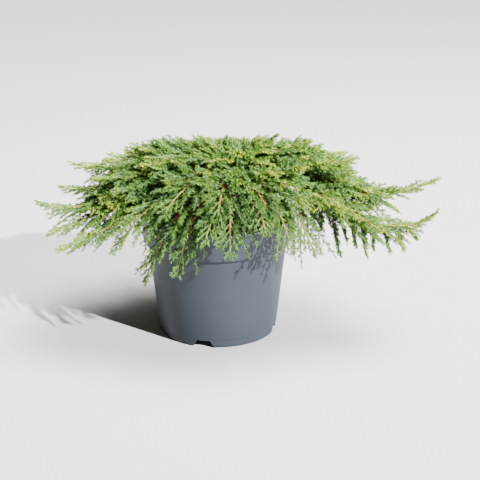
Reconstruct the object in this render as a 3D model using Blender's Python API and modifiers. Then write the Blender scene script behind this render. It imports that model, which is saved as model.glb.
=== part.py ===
"""A green carpet common juniper in its nursery pot, as separate solids.

The frame has +Z up and X to the right of the plant's front, which looks along -Y. Its origin is the
middle of the pot's underside. The pot holds its growing medium, the trunk stands on that, boughs leave
the trunk all round, and each bough ends in a fork of three plumes of foliage. Lengths are in metres.
"""

import math
import random

import bmesh
import bpy
import numpy as np
from mathutils import Matrix, Vector
from mathutils.bvhtree import BVHTree

SEED = 417
GAP = 0.0003
MERGE = 0.00001
UP = Vector((0.0, 0.0, 1.0))

# Pot
POT_HEIGHT = 0.180
RIM_RADIUS = 0.1125
RIM_BAND = 0.0035
RIM_PROUD = 0.0013
COLLAR_FOOT_RADIUS = 0.1090
COLLAR_FOOT = 0.1397
WAIST_RADIUS = 0.1026
BASE_RADIUS = 0.0866
FOOT_BAND = 0.0112
FOOT_STEP = 0.0007
POT_WALL = 0.0022
POT_ROUNDING = 0.0008
BASE_ROUNDING = 0.0020
POT_SIDES = 36

# Drain channels under the base
CHANNEL_COUNT = 4
CHANNEL_TURN = math.radians(-103)
CHANNEL_INNER = 0.030
CHANNEL_OUTER = 0.100
CHANNEL_HEIGHT = 0.0100
CHANNEL_FOOT_WIDTH = 0.0310
CHANNEL_ROOF_WIDTH = 0.0190
CHANNEL_SIDE_GROWTH = 1.6
DRAIN_RADIUS = 0.0045
DRAIN_PLACE = 0.068
DRAIN_SIDES = 8

# Growing medium
MEDIUM_TOP = 0.165
MEDIUM_EDGE_DROP = 0.004
MEDIUM_FLAT = 0.030
MEDIUM_SIDES = 36

# Trunk
TRUNK_FOOT = Vector((0.006, 0.000, MEDIUM_TOP + GAP))
TRUNK_TOP = Vector((0.024, 0.005, 0.2240))
TRUNK_BEND = Vector((0.004, -0.003, 0.0))
TRUNK_RADIUS = 0.0088
TRUNK_TOP_RADIUS = 0.0062
ROOT_FLARE = 0.0052
ROOT_FLARE_HEIGHT = 0.0055
ROOT_LOBES = 5
ROOT_LOBE_DEPTH = 0.16
TRUNK_RINGS = 8
TRUNK_RING_CROWDING = 1.5
TRUNK_SIDES = 15

# Boughs
BOUGH_COUNT = 12
FIRST_BOUGH = math.radians(-8)
BOUGH_LOWEST = 0.1790
BOUGH_HIGHEST = 0.2160
BOUGH_RADIUS = 0.0040
BOUGH_TIP_RADIUS = 0.0031
BOUGH_SHARE = 0.235
BOUGH_TIP_HEIGHT = 0.2140
BOUGH_TIP_RISE = 0.0140
BOUGH_TIP_PITCH = math.radians(14)
BOUGH_POINTS = 6
BOUGH_LEAD = 0.40
BOUGH_TRAIL = 0.35
BOUGH_WOBBLE = 0.05
BOUGH_WOBBLE_STEP = 2.4
BOUGH_ROUNDNESS = 1

# Outline of the crown, an ellipse seen from above
CROWN_MIDDLE = Vector((0.030, 0.022, 0.0))
CROWN_HALF_WIDTH = 0.293
CROWN_HALF_DEPTH = 0.208
CROWN_AXIS = Vector((0.020, 0.000, 0.0))

CROWN_TOP = 0.300
CROWN_RIDGE = 0.150
CROWN_FALL_ALONG = 0.45
CROWN_FALL_ACROSS = 0.36

# The three plumes of a fork: how far each turns from its bough, its share of the outline's reach,
# how far its tip lies below the mound's top and the pitch of its last stretch.
TIERS = {
    "high": (math.radians(0), 0.64, 0.012, math.radians(4)),
    "mid": (math.radians(9), 0.92, 0.030, math.radians(-12)),
    "low": (math.radians(-9), 0.98, 0.066, math.radians(-38)),
}

# The plumes that stand out at the front and sides: bearing in degrees, reach from the crown's axis,
# tip height and tip pitch in degrees.
LEADERS = {
    ("bough_01", "high"): (-3, 0.178, 0.263, 18),
    ("bough_01", "mid"): (4.5, 0.309, 0.223, 25),
    ("bough_01", "low"): (-11.5, 0.301, 0.200, 48),
    ("bough_02", "high"): (-40, 0.140, 0.214, -48),
    ("bough_02", "mid"): (-37, 0.152, 0.146, -50),
    ("bough_02", "low"): (-57, 0.158, 0.163, -62),
    ("bough_03", "high"): (-66, 0.138, 0.208, -56),
    ("bough_03", "mid"): (-72, 0.160, 0.196, -40),
    ("bough_03", "low"): (-90, 0.166, 0.168, -58),
    ("bough_04", "high"): (-97, 0.138, 0.218, -46),
    ("bough_04", "mid"): (-102, 0.166, 0.186, -45),
    ("bough_04", "low"): (-116, 0.168, 0.136, -64),
    ("bough_05", "high"): (-128, 0.150, 0.210, -50),
    ("bough_05", "mid"): (-144, 0.204, 0.157, -48),
    ("bough_05", "low"): (-132, 0.178, 0.119, -66),
    ("bough_06", "high"): (-172, 0.200, 0.238, -2),
    ("bough_06", "mid"): (-168, 0.267, 0.163, -16),
    ("bough_06", "low"): (-158, 0.262, 0.154, -12),
    ("bough_07", "mid"): (173, 0.254, 0.207, 8),
    ("bough_07", "low"): (-178, 0.282, 0.197, 22),
    ("bough_07", "high"): (175, 0.180, 0.256, 4),
    ("bough_08", "high"): (163, 0.256, 0.235, 17),
    ("bough_12", "high"): (25, 0.182, 0.247, 2),
    ("bough_12", "mid"): (33, 0.214, 0.205, -6),
    ("bough_12", "low"): (14, 0.260, 0.160, -34),
}

# Plumes
PLUME_RADIUS = 0.0015
PLUME_TIP_RADIUS = 0.0008
PLUME_STAND = 0.0019
PLUME_LEAD = 0.36
PLUME_TRAIL = 0.38
PLUME_RINGS = 5
PLUME_SAMPLES = 24
FOOT_SLANT = math.radians(30)
FORK_SPREAD = 0.4
ARCH_SHORT = math.radians(66)
ARCH_LONG = math.radians(12)
REACH_SHORT = 0.100
REACH_RANGE = 0.210
TOP_PLUMES = 8
TOP_REACH = (0.062, 0.124)
TOP_DEPTH = (0.010, 0.036)
TOP_PITCH = (math.radians(4), math.radians(-42))
TOP_TURN = math.radians(-30)
TOP_STAND = 0.0044
TOP_LEAN = 0.35

# Sprays
SPRAY_SPACING = 0.0150
SPRAY_FIRST = 0.08
SPRAY_LENGTH = 0.070
SPRAY_TIP_LENGTH = 0.040
SPRAY_LAST = 0.93
SPRAY_FEWEST = 6
TIP_SPRAY = 0.036
TIP_SPRAY_SUNK = 0.85
TIP_SPRAY_ROLL = 0.6
TIP_SPRAY_LEAST = 0.012
SPRAY_NECK = 0.0016
SPRAY_SWEEP = math.radians(47)
NEEDLE_SHARE = 0.180
SECOND_WHORL_SHARE = 0.130
FIRST_WHORL_AT = 0.46
NECK_AT = 0.40
SECOND_WHORL_AT = 0.84
SPRAY_TRIES = 16
SPRAY_SHORTEN = 0.036
CORE_FROM = 0.03
CORE_TO = 0.88
CORE_SHARES = (0.24, 0.44, 0.66)
CORE_FULLNESS = (1.0, 0.86, 0.80)
CORE_HALF_WIDTH = 0.021
CORE_FLATNESS = 0.42
CORE_ROOM = 0.62
SHRINK = 0.90
CORE_LEAST = 0.0034
SPRAY_PARTS = (0.40, 0.60, 0.80, 1.00)
SPRAY_CROWDING = 0.090
SPRAY_LEAST_CROWDING = 0.0125
SPRAY_MOST_CROWDING = 0.0235
SPRAY_CLEARANCE = 0.0008
SPRAY_FROM = math.radians(-40)
SPRAY_TO = math.radians(220)

# Sprays that hang under a long plume: share of its stem, length and slope down in degrees.
HANGING = {
    "foliage_01_low": (
        (0.30, 0.070, 70),
        (0.46, 0.060, 71),
        (0.60, 0.042, 64),
        (0.72, 0.032, 58),
    ),
}
GOLDEN_SHARE = 0.381966
SLIVER = 0.000002


def collection_named(name):
    made = bpy.data.collections.new(name)
    bpy.context.scene.collection.children.link(made)
    return made


def material(name, colour, roughness, metallic=0.0):
    made = bpy.data.materials.new(name)
    made.use_nodes = True
    made.diffuse_color = (*colour, 1.0)
    shader = made.node_tree.nodes["Principled BSDF"]
    shader.inputs["Base Color"].default_value = (*colour, 1.0)
    shader.inputs["Roughness"].default_value = roughness
    shader.inputs["Metallic"].default_value = metallic
    return made


def as_helper(obj):
    obj.hide_render = True
    obj.display_type = "WIRE"
    return obj


def turned(name, profile, sides, collection):
    """A solid turned about Z from (radius, height) points that run down its outer side."""
    mesh = bpy.data.meshes.new(name)
    points = [(radius, 0.0, height) for radius, height in profile]
    edges = [(i, i + 1) for i in range(len(points) - 1)]
    mesh.from_pydata(points, edges, [])
    obj = bpy.data.objects.new(name, mesh)
    collection.objects.link(obj)
    screw = obj.modifiers.new("turn", "SCREW")
    screw.steps = sides
    screw.render_steps = sides
    screw.use_merge_vertices = True
    screw.merge_threshold = MERGE
    return obj


def cut(obj, cutter, name):
    boolean = obj.modifiers.new(name, "BOOLEAN")
    boolean.operation = "DIFFERENCE"
    boolean.solver = "EXACT"
    boolean.object = cutter


def wall_radius(height):
    """Outside of the pot's tapering wall below the collar."""
    return BASE_RADIUS + (WAIST_RADIUS - BASE_RADIUS) * height / COLLAR_FOOT


def collar_radius(height):
    """Outside of the collar, from its lower edge to the rim's band."""
    share = (height - COLLAR_FOOT) / (POT_HEIGHT - COLLAR_FOOT)
    return COLLAR_FOOT_RADIUS + (RIM_RADIUS - RIM_PROUD - COLLAR_FOOT_RADIUS) * share


def pot_outside():
    band_foot = POT_HEIGHT - RIM_BAND
    return [
        (0.0, POT_HEIGHT),
        (RIM_RADIUS - POT_ROUNDING, POT_HEIGHT),
        (RIM_RADIUS, POT_HEIGHT - POT_ROUNDING),
        (RIM_RADIUS, band_foot),
        (collar_radius(band_foot), band_foot - RIM_PROUD),
        (COLLAR_FOOT_RADIUS, COLLAR_FOOT + POT_ROUNDING),
        (COLLAR_FOOT_RADIUS - POT_ROUNDING, COLLAR_FOOT),
        (WAIST_RADIUS, COLLAR_FOOT),
        (wall_radius(FOOT_BAND), FOOT_BAND),
        (wall_radius(FOOT_BAND) - FOOT_STEP, FOOT_BAND - FOOT_STEP),
        (BASE_RADIUS, BASE_ROUNDING),
        (BASE_RADIUS - BASE_ROUNDING, 0.0),
        (0.0, 0.0),
    ]


def pot_inside(top, inset):
    """The pot's inner wall up to a height, moved in by an inset."""
    side = POT_WALL + inset
    ledge = COLLAR_FOOT + POT_WALL + inset
    return [
        (collar_radius(top) - side, top),
        (COLLAR_FOOT_RADIUS - side, ledge),
        (WAIST_RADIUS - side, ledge),
        (wall_radius(POT_WALL) - side, POT_WALL + inset),
        (0.0, POT_WALL + inset),
    ]


def drain_channels(name, grow, collection):
    """Four slant-sided channels under the base; grow widens them by a wall's thickness."""
    slope = (CHANNEL_ROOF_WIDTH - CHANNEL_FOOT_WIDTH) / 2 / CHANNEL_HEIGHT
    work = bmesh.new()
    for number in range(CHANNEL_COUNT):
        corners = bmesh.ops.create_cube(work, size=1.0)["verts"]
        for corner in corners:
            along = CHANNEL_OUTER if corner.co.x > 0 else CHANNEL_INNER - grow
            height = CHANNEL_HEIGHT + grow if corner.co.z > 0 else -CHANNEL_HEIGHT
            half_width = CHANNEL_FOOT_WIDTH / 2 + slope * height + CHANNEL_SIDE_GROWTH * grow
            corner.co = Vector((along, math.copysign(half_width, corner.co.y), height))
        turn = Matrix.Rotation(CHANNEL_TURN + number * math.tau / CHANNEL_COUNT, 3, "Z")
        bmesh.ops.rotate(work, matrix=turn, verts=corners)
    return as_helper(mesh_object(name, work, collection))


def drain_holes(name, collection):
    """A round hole through the roof of each channel."""
    work = bmesh.new()
    for number in range(CHANNEL_COUNT):
        angle = CHANNEL_TURN + number * math.tau / CHANNEL_COUNT
        middle = Vector((math.cos(angle), math.sin(angle), 0.0)) * DRAIN_PLACE
        middle.z = CHANNEL_HEIGHT
        bmesh.ops.create_cone(
            work,
            cap_ends=True,
            segments=DRAIN_SIDES,
            radius1=DRAIN_RADIUS,
            radius2=DRAIN_RADIUS,
            depth=3 * POT_WALL,
            matrix=Matrix.Translation(middle),
        )
    return as_helper(mesh_object(name, work, collection))


def mesh_object(name, work, collection):
    """Turns a bmesh into an object and frees it."""
    bmesh.ops.recalc_face_normals(work, faces=work.faces)
    mesh = bpy.data.meshes.new(name)
    work.to_mesh(mesh)
    work.free()
    obj = bpy.data.objects.new(name, mesh)
    collection.objects.link(obj)
    return obj


def make_pot(parts, cutters):
    pot = turned("pot", pot_outside(), POT_SIDES, parts)
    hollow_top = POT_HEIGHT + POT_WALL
    hollow = [(0.0, hollow_top)] + pot_inside(hollow_top, 0.0)
    cavity = as_helper(turned("pot_cavity", hollow, POT_SIDES, cutters))
    cut(cavity, drain_channels("channel_humps", POT_WALL, cutters), "humps")
    cut(pot, drain_channels("channel_cuts", 0.0, cutters), "channels")
    cut(pot, cavity, "cavity")
    cut(pot, drain_holes("drain_cuts", cutters), "drains")
    pot.data.materials.append(material("pot_plastic", (0.115, 0.135, 0.155), 0.42))


def make_medium(parts, cutters):
    edge = MEDIUM_TOP - MEDIUM_EDGE_DROP
    profile = [(0.0, MEDIUM_TOP), (MEDIUM_FLAT, MEDIUM_TOP)] + pot_inside(edge, GAP)
    medium = turned("growing_medium", profile, MEDIUM_SIDES, parts)
    cut(medium, drain_channels("medium_humps", POT_WALL + GAP, cutters), "humps")
    medium.data.materials.append(material("peat", (0.045, 0.028, 0.018), 0.95))


def across(direction):
    """Two unit vectors square to a direction; the first is as level as it can be."""
    side = direction.cross(UP)
    if side.length < 0.05:
        side = direction.cross(Vector((1.0, 0.0, 0.0)))
    side.normalize()
    return side, side.cross(direction).normalized()


def bezier(start, lead, trail, end, share):
    rest = 1.0 - share
    return (
        start * rest**3
        + lead * 3 * share * rest**2
        + trail * 3 * share**2 * rest
        + end * share**3
    )


def bezier_path(start, lead, trail, end, count):
    return [bezier(start, lead, trail, end, i / (count - 1)) for i in range(count)]


def loft(work, rings):
    """Skins rings of equal count, from the first to the last, and closes both ends."""
    loops = [[work.verts.new(point) for point in ring] for ring in rings]
    count = len(loops[0])
    for low, high in zip(loops, loops[1:]):
        for i in range(count):
            j = (i + 1) % count
            work.faces.new((low[i], low[j], high[j], high[i]))
    work.faces.new(loops[0][::-1])
    work.faces.new(loops[-1])


def trunk_centre(share):
    """The trunk's middle at a share of its height: it leans to the right with a slight bend."""
    return TRUNK_FOOT.lerp(TRUNK_TOP, share) + TRUNK_BEND * math.sin(math.pi * share)


def trunk_share(height):
    return (height - TRUNK_FOOT.z) / (TRUNK_TOP.z - TRUNK_FOOT.z)


def trunk_lobes(share):
    """How much the root lobes add to the trunk's radius, as a share of it."""
    return ROOT_LOBE_DEPTH * (1.0 - share) ** 3


def trunk_radius(height):
    share = trunk_share(height)
    flare = ROOT_FLARE * math.exp(-(height - TRUNK_FOOT.z) / ROOT_FLARE_HEIGHT)
    return TRUNK_RADIUS + (TRUNK_TOP_RADIUS - TRUNK_RADIUS) * share + flare


def trunk_side(out, height):
    """How far the trunk reaches in a level direction, over the thickness of a bough."""
    reaches = []
    for part in (-1.0, -0.5, 0.0, 0.5, 1.0):
        level = height + part * BOUGH_RADIUS
        share = trunk_share(level)
        radius = trunk_radius(level) * (1.0 + trunk_lobes(share))
        reaches.append(trunk_centre(share).dot(out) + radius)
    return max(reaches)


def make_trunk(parts):
    """A short leaning stem, lobed where its roots leave it, cut flat at the medium."""
    work = bmesh.new()
    rings = []
    for level in range(TRUNK_RINGS):
        share = (level / (TRUNK_RINGS - 1)) ** TRUNK_RING_CROWDING
        centre = trunk_centre(share)
        radius = trunk_radius(centre.z)
        lobes = trunk_lobes(share)
        ring = []
        for side in range(TRUNK_SIDES):
            angle = side * math.tau / TRUNK_SIDES
            reach = radius * (1.0 + lobes * math.cos(ROOT_LOBES * angle))
            ring.append(centre + Vector((math.cos(angle), math.sin(angle), 0.0)) * reach)
        rings.append(ring)
    loft(work, rings)
    trunk = mesh_object("trunk", work, parts)
    trunk.data.materials.append(material("bark", (0.24, 0.13, 0.075), 0.85))


def outline_reach(azimuth):
    """How far the crown's outline lies from its axis along a bearing."""
    along = Vector((math.cos(azimuth), math.sin(azimuth), 0.0))
    offset = CROWN_AXIS - CROWN_MIDDLE
    wide, deep = CROWN_HALF_WIDTH**2, CROWN_HALF_DEPTH**2
    a = along.x**2 / wide + along.y**2 / deep
    b = offset.x * along.x / wide + offset.y * along.y / deep
    c = offset.x**2 / wide + offset.y**2 / deep - 1.0
    return (-b + math.sqrt(b * b - a * c)) / a


def crown_top(point):
    """Height of the mound's top over a point: a level ridge along X that falls away all round."""
    past_ridge = max(0.0, abs(point.x - CROWN_MIDDLE.x) - CROWN_RIDGE)
    return CROWN_TOP - CROWN_FALL_ALONG * past_ridge - CROWN_FALL_ACROSS * abs(point.y)


def level_direction(azimuth, pitch=0.0):
    flat = math.cos(pitch)
    return Vector((math.cos(azimuth) * flat, math.sin(azimuth) * flat, math.sin(pitch)))


class Bough:
    """One tapering limb from the trunk's side to the fork that carries three plumes."""

    def __init__(self, number):
        self.name = f"bough_{number + 1:02d}"
        wobble = math.sin(BOUGH_WOBBLE_STEP * number)
        self.azimuth = FIRST_BOUGH - number * math.tau / BOUGH_COUNT + BOUGH_WOBBLE * wobble
        level = (number * 5 % BOUGH_COUNT) / (BOUGH_COUNT - 1)
        height = BOUGH_LOWEST + (BOUGH_HIGHEST - BOUGH_LOWEST) * level
        out = level_direction(self.azimuth)
        middle = trunk_centre(trunk_share(height))
        start = middle + out * (trunk_side(out, height) - middle.dot(out) + GAP)
        reach = BOUGH_SHARE * outline_reach(self.azimuth)
        end = CROWN_AXIS + out * reach
        end.z = BOUGH_TIP_HEIGHT + BOUGH_TIP_RISE * (level + wobble / 2)
        trail = level_direction(self.azimuth, BOUGH_TIP_PITCH)
        span = (end - start).length
        self.path = bezier_path(
            start,
            start + out * BOUGH_LEAD * span,
            end - trail * BOUGH_TRAIL * span,
            end,
            BOUGH_POINTS,
        )
        self.direction = (self.path[-1] - self.path[-2]).normalized()

    def make(self, parts, bark):
        curve = bpy.data.curves.new(self.name, "CURVE")
        curve.dimensions = "3D"
        curve.bevel_depth = 1.0
        curve.bevel_resolution = BOUGH_ROUNDNESS
        curve.use_fill_caps = True
        spline = curve.splines.new("POLY")
        spline.points.add(len(self.path) - 1)
        for i, point in enumerate(self.path):
            share = i / (len(self.path) - 1)
            spline.points[i].co = (*point, 1.0)
            spline.points[i].radius = BOUGH_RADIUS + (BOUGH_TIP_RADIUS - BOUGH_RADIUS) * share
        curve.materials.append(bark)
        obj = bpy.data.objects.new(self.name, curve)
        parts.objects.link(obj)


class Plume:
    """One mass of foliage: a thin stem and the sprays that stand round it."""

    def __init__(self, name, foot, axis, lead, azimuth, reach, height, pitch):
        self.name = name
        self.axis = axis
        end = CROWN_AXIS + level_direction(azimuth) * reach
        end.z = height
        span = (end - foot).length
        self.curve = (
            foot,
            foot + lead * PLUME_LEAD * span,
            end - level_direction(azimuth, pitch) * PLUME_TRAIL * span,
            end,
        )
        self.path = np.array(bezier_path(*self.curve, PLUME_SAMPLES))
        self.length = np.linalg.norm(np.diff(self.path, axis=0), axis=1).sum()

    def at(self, share):
        """A point of the stem and the way that it runs there."""
        near = bezier(*self.curve, max(share - 0.01, 0.0))
        far = bezier(*self.curve, min(share + 0.01, 1.0))
        return bezier(*self.curve, share), (far - near).normalized()

    def stem(self, work):
        rings = []
        for level in range(PLUME_RINGS):
            share = level / (PLUME_RINGS - 1)
            point, along = self.at(share)
            side, top = across(along)
            if level == 0:
                top = side.cross(self.axis).normalized()
                side = self.axis.cross(top)
            radius = PLUME_RADIUS + (PLUME_TIP_RADIUS - PLUME_RADIUS) * share
            rings.append(triangle(point, side, top, radius, 0.0))
        loft(work, rings)
        bmesh.ops.triangulate(work, faces=work.faces)


def triangle(centre, side, top, radius, roll):
    """The corners of a three-sided section."""
    corners = []
    for third in range(3):
        angle = roll + third * math.tau / 3
        corners.append(centre + (side * math.cos(angle) + top * math.sin(angle)) * radius)
    return corners


def tier_aim(bough, tier):
    """Where a plume of a fork goes: bearing, reach, tip height and tip pitch."""
    if (bough.name, tier) in LEADERS:
        bearing, reach, height, pitch = LEADERS[bough.name, tier]
        return math.radians(bearing), reach, height, math.radians(pitch)
    turn, share, depth, pitch = TIERS[tier]
    azimuth = bough.azimuth + turn
    reach = share * outline_reach(azimuth)
    return azimuth, reach, crown_top(CROWN_AXIS + level_direction(azimuth) * reach) - depth, pitch


def fork(bough):
    """The three plumes of a bough, their feet side by side on its blunt tip."""
    tip = bough.path[-1] + bough.direction * GAP
    right, top = across(bough.direction)
    apart = tier_aim(bough, "mid")[0] - tier_aim(bough, "low")[0]
    mid_side = math.copysign(1.0, math.sin(apart))
    slants = {
        "high": top,
        "mid": right * -mid_side * math.cos(FOOT_SLANT) - top * math.sin(FOOT_SLANT),
        "low": right * mid_side * math.cos(FOOT_SLANT) - top * math.sin(FOOT_SLANT),
    }
    made = []
    for tier, stand in slants.items():
        aim = tier_aim(bough, tier)
        arch = ARCH_SHORT + (ARCH_LONG - ARCH_SHORT) * (aim[1] - REACH_SHORT) / REACH_RANGE
        lead = (level_direction(aim[0], arch) + stand * FORK_SPREAD).normalized()
        name = f"foliage_{bough.name[-2:]}_{tier}"
        foot = tip + stand * PLUME_STAND
        made.append(Plume(name, foot, bough.direction, lead, *aim))
    return made


def top_plumes():
    """The plumes that rise from the trunk's top and arch out over the middle of the crown."""
    made = []
    for number in range(TOP_PLUMES):
        azimuth = TOP_TURN + number * math.tau / TOP_PLUMES
        out = level_direction(azimuth)
        foot = TRUNK_TOP + UP * GAP + out * TOP_STAND
        lead = (UP + out * TOP_LEAN).normalized()
        name = f"foliage_top_{number + 1}"
        ring = number % len(TOP_REACH)
        reach = TOP_REACH[ring]
        height = crown_top(CROWN_AXIS + out * reach) - TOP_DEPTH[ring]
        made.append(Plume(name, foot, UP, lead, azimuth, reach, height, TOP_PITCH[ring]))
    return made


def distance_to_path(points, path):
    """Least distance from each point to a run of straight pieces."""
    runs = np.diff(path, axis=0)
    offsets = points[:, None, :] - path[None, :-1, :]
    shares = np.clip((offsets * runs).sum(-1) / (runs * runs).sum(-1), 0.0, 1.0)
    return np.linalg.norm(offsets - shares[..., None] * runs, axis=-1).min(axis=1)


class Crown:
    """The space of each plume: what lies nearer to its stem than to any other, and is still empty."""

    def __init__(self, plumes, limbs):
        self.plumes = plumes
        graph = bpy.context.evaluated_depsgraph_get()
        self.taken = [(None, BVHTree.FromObject(limb, graph)) for limb in limbs]
        for plume in plumes:
            work = bmesh.new()
            plume.stem(work)
            self.take(plume, work)

    def take(self, plume, work):
        """Marks the room of a shape as taken by a plume."""
        self.taken.append((plume, BVHTree.FromBMesh(work)))
        work.free()

    def holds(self, plume, points, wide):
        """Whether a spray's middle line keeps to the plume's space and its widened body is clear."""
        if any(point[2] > crown_top(Vector(point)) for point in points):
            return False
        own = distance_to_path(points, plume.path)
        for other in self.plumes:
            if other is not plume and (distance_to_path(points, other.path) < own).any():
                return False
        return self.empty(plume, wide)

    def room(self, plume, point):
        """How far a point lies from the nearest thing that isn't the plume's own."""
        others = (body for owner, body in self.taken if owner is not plume)
        return min(body.find_nearest(point)[3] for body in others)

    def empty(self, plume, work):
        """Whether a shape meets nothing that belongs to a limb, the pot or another plume."""
        tree = BVHTree.FromBMesh(work)
        return not any(tree.overlap(body) for owner, body in self.taken if owner is not plume)


def spray(foot, direction, length, roll, widen=0.0):
    """A twig set with needles: a three-sided spindle with two whorls of three swept points."""
    work = bmesh.new()
    side, top = across(direction)
    def ring(share, radius, turn):
        centre = foot + direction * length * share
        corners = triangle(centre, side, top, radius + widen, roll + turn)
        return [work.verts.new(corner) for corner in corners]

    root = work.verts.new(foot)
    tip = work.verts.new(foot + direction * (length + widen))
    first = ring(FIRST_WHORL_AT, length * NEEDLE_SHARE, 0.0)
    neck = ring(NECK_AT, SPRAY_NECK, math.pi / 3)
    second = ring(SECOND_WHORL_AT, length * SECOND_WHORL_SHARE, math.pi / 3)
    for i in range(3):
        j = (i + 1) % 3
        work.faces.new((root, first[j], first[i]))
        work.faces.new((first[i], first[j], neck[i]))
        work.faces.new((first[j], neck[j], neck[i]))
        work.faces.new((neck[i], neck[j], second[j]))
        work.faces.new((neck[i], second[j], second[i]))
        work.faces.new((second[i], second[j], tip))
    return work


def core(plume, widths):
    """The dense inner growth along a stem: a flat four-sided spindle with scalloped edges."""
    work = bmesh.new()
    rings = []
    for share, width in zip(CORE_SHARES, widths):
        centre, along = plume.at(share)
        side, top = across(along)
        thick = width * CORE_FLATNESS
        section = (side * width, top * thick, side * -width, top * -thick)
        rings.append([work.verts.new(centre + corner) for corner in section])
    ends = [work.verts.new(plume.at(share)[0]) for share in (CORE_FROM, CORE_TO)]
    for i in range(4):
        j = (i + 1) % 4
        work.faces.new((ends[0], rings[0][j], rings[0][i]))
        work.faces.new((ends[1], rings[-1][i], rings[-1][j]))
        for low, high in zip(rings, rings[1:]):
            work.faces.new((low[i], low[j], high[j]))
            work.faces.new((low[i], high[j], high[i]))
    return work


def fitted_core(plume, crown):
    """The widest core that stays clear of all else, with its widths, or none where room is short."""
    widths = []
    for share, fullness in zip(CORE_SHARES, CORE_FULLNESS):
        room = crown.room(plume, plume.at(share)[0])
        widths.append(min(CORE_HALF_WIDTH * fullness, CORE_ROOM * room))
    while min(widths) > CORE_LEAST:
        work = core(plume, widths)
        if crown.empty(plume, work):
            return work, [width - SPRAY_CLEARANCE for width in widths]
        work.free()
        widths = [width * SHRINK for width in widths]
    return None, None


def fitted_tip(plume, crown):
    """The spray that ends a stem, as the arguments of spray(), as long as its room allows."""
    end, along = plume.at(1.0)
    length = TIP_SPRAY
    while length > TIP_SPRAY_LEAST:
        shape = (end - along * length * TIP_SPRAY_SUNK, along, length, TIP_SPRAY_ROLL)
        wide = spray(*shape, SPRAY_CLEARANCE)
        if crown.empty(plume, wide):
            crown.take(plume, wide)
            return [shape]
        wide.free()
        length *= SHRINK
    return []


def place_sprays(plume, crown, chance):
    """The side sprays of a plume, as the arguments of spray(), by one rule from its stem."""
    count = max(SPRAY_FEWEST, round(plume.length * (SPRAY_LAST - SPRAY_FIRST) / SPRAY_SPACING))
    crowding = min(max(SPRAY_CROWDING * plume.length, SPRAY_LEAST_CROWDING), SPRAY_MOST_CROWDING)
    placed = []
    lines = [plume.path[-2:]]
    for share, reach, slope in HANGING.get(plume.name, ()):
        foot, along = plume.at(share)
        azimuth = math.atan2(along.y, along.x)
        direction = level_direction(azimuth, -math.radians(slope))
        points = np.array([foot + direction * reach * part for part in SPRAY_PARTS])
        wide = spray(foot, direction, reach, 0.0, SPRAY_CLEARANCE)
        if crown.holds(plume, points, wide):
            placed.append((foot, direction, reach, 0.0))
            lines.append(points[[0, -1]])
            crown.take(plume, wide)
        else:
            wide.free()
    for number in range(count):
        share = SPRAY_FIRST + (SPRAY_LAST - SPRAY_FIRST) * (number + 0.5) / count
        foot, along = plume.at(share)
        side, top = across(along)
        length = SPRAY_LENGTH + (SPRAY_TIP_LENGTH - SPRAY_LENGTH) * share
        for attempt in range(SPRAY_TRIES):
            turn = (number * GOLDEN_SHARE + attempt * chance.uniform(0.0, 0.3)) % 1.0
            angle = SPRAY_FROM + (SPRAY_TO - SPRAY_FROM) * turn
            sweep = SPRAY_SWEEP * chance.uniform(0.6, 1.2)
            roll = chance.uniform(0.0, math.tau)
            out = side * math.cos(angle) + top * math.sin(angle)
            direction = along * math.cos(sweep) + out * math.sin(sweep)
            reach = length * (1.0 - SPRAY_SHORTEN * attempt)
            points = np.array([foot + direction * reach * part for part in SPRAY_PARTS])
            beside = all(distance_to_path(points, line).min() > crowding for line in lines)
            wide = spray(foot, direction, reach, roll, SPRAY_CLEARANCE)
            if beside and crown.holds(plume, points, wide):
                placed.append((foot, direction, reach, roll))
                lines.append(points[[0, -1]])
                crown.take(plume, wide)
                break
            wide.free()
    return placed


def bodies_of(work):
    """The connected groups of faces, largest first."""
    left = set(work.faces)
    bodies = []
    while left:
        front = [left.pop()]
        body = list(front)
        while front:
            face = front.pop()
            near = {other for edge in face.edges for other in edge.link_faces} & left
            left -= near
            body += near
            front += near
        bodies.append(body)
    return sorted(bodies, key=lambda body: -sum(face.calc_area() for face in body))


def made_sound(mesh, method):
    """Merges the union's slivers, drops loose scraps, fills sealed hollows and tests the result."""
    work = bmesh.new()
    work.from_mesh(mesh)
    bmesh.ops.remove_doubles(work, verts=work.verts, dist=SLIVER)
    bmesh.ops.dissolve_degenerate(work, edges=work.edges, dist=SLIVER)
    scraps = [face for body in bodies_of(work)[1:] for face in body]
    bmesh.ops.delete(work, geom=scraps, context="FACES")
    bmesh.ops.triangulate(work, faces=work.faces, ngon_method=method)
    sound = all(len(edge.link_faces) == 2 for edge in work.edges)
    if sound:
        work.to_mesh(mesh)
    work.free()
    return sound


def union_of(name, pieces, parts):
    """One solid from a stem and the shapes fused on it, by a single Boolean on a collection."""
    shapes = bpy.data.collections.new(name + "_shapes")
    bpy.context.scene.collection.children.link(shapes)
    body = mesh_object(name, pieces[0], parts)
    for piece in pieces[1:]:
        mesh_object("shape", piece, shapes)
    union = body.modifiers.new("union", "BOOLEAN")
    union.operation = "UNION"
    union.operand_type = "COLLECTION"
    union.solver = "EXACT"
    union.collection = shapes
    bpy.context.view_layer.update()
    graph = bpy.context.evaluated_depsgraph_get()
    joined = bpy.data.meshes.new_from_object(body.evaluated_get(graph))
    body.modifiers.remove(union)
    body.data = joined
    for shape in list(shapes.objects):
        bpy.data.objects.remove(shape)
    bpy.data.collections.remove(shapes)
    return body


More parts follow.
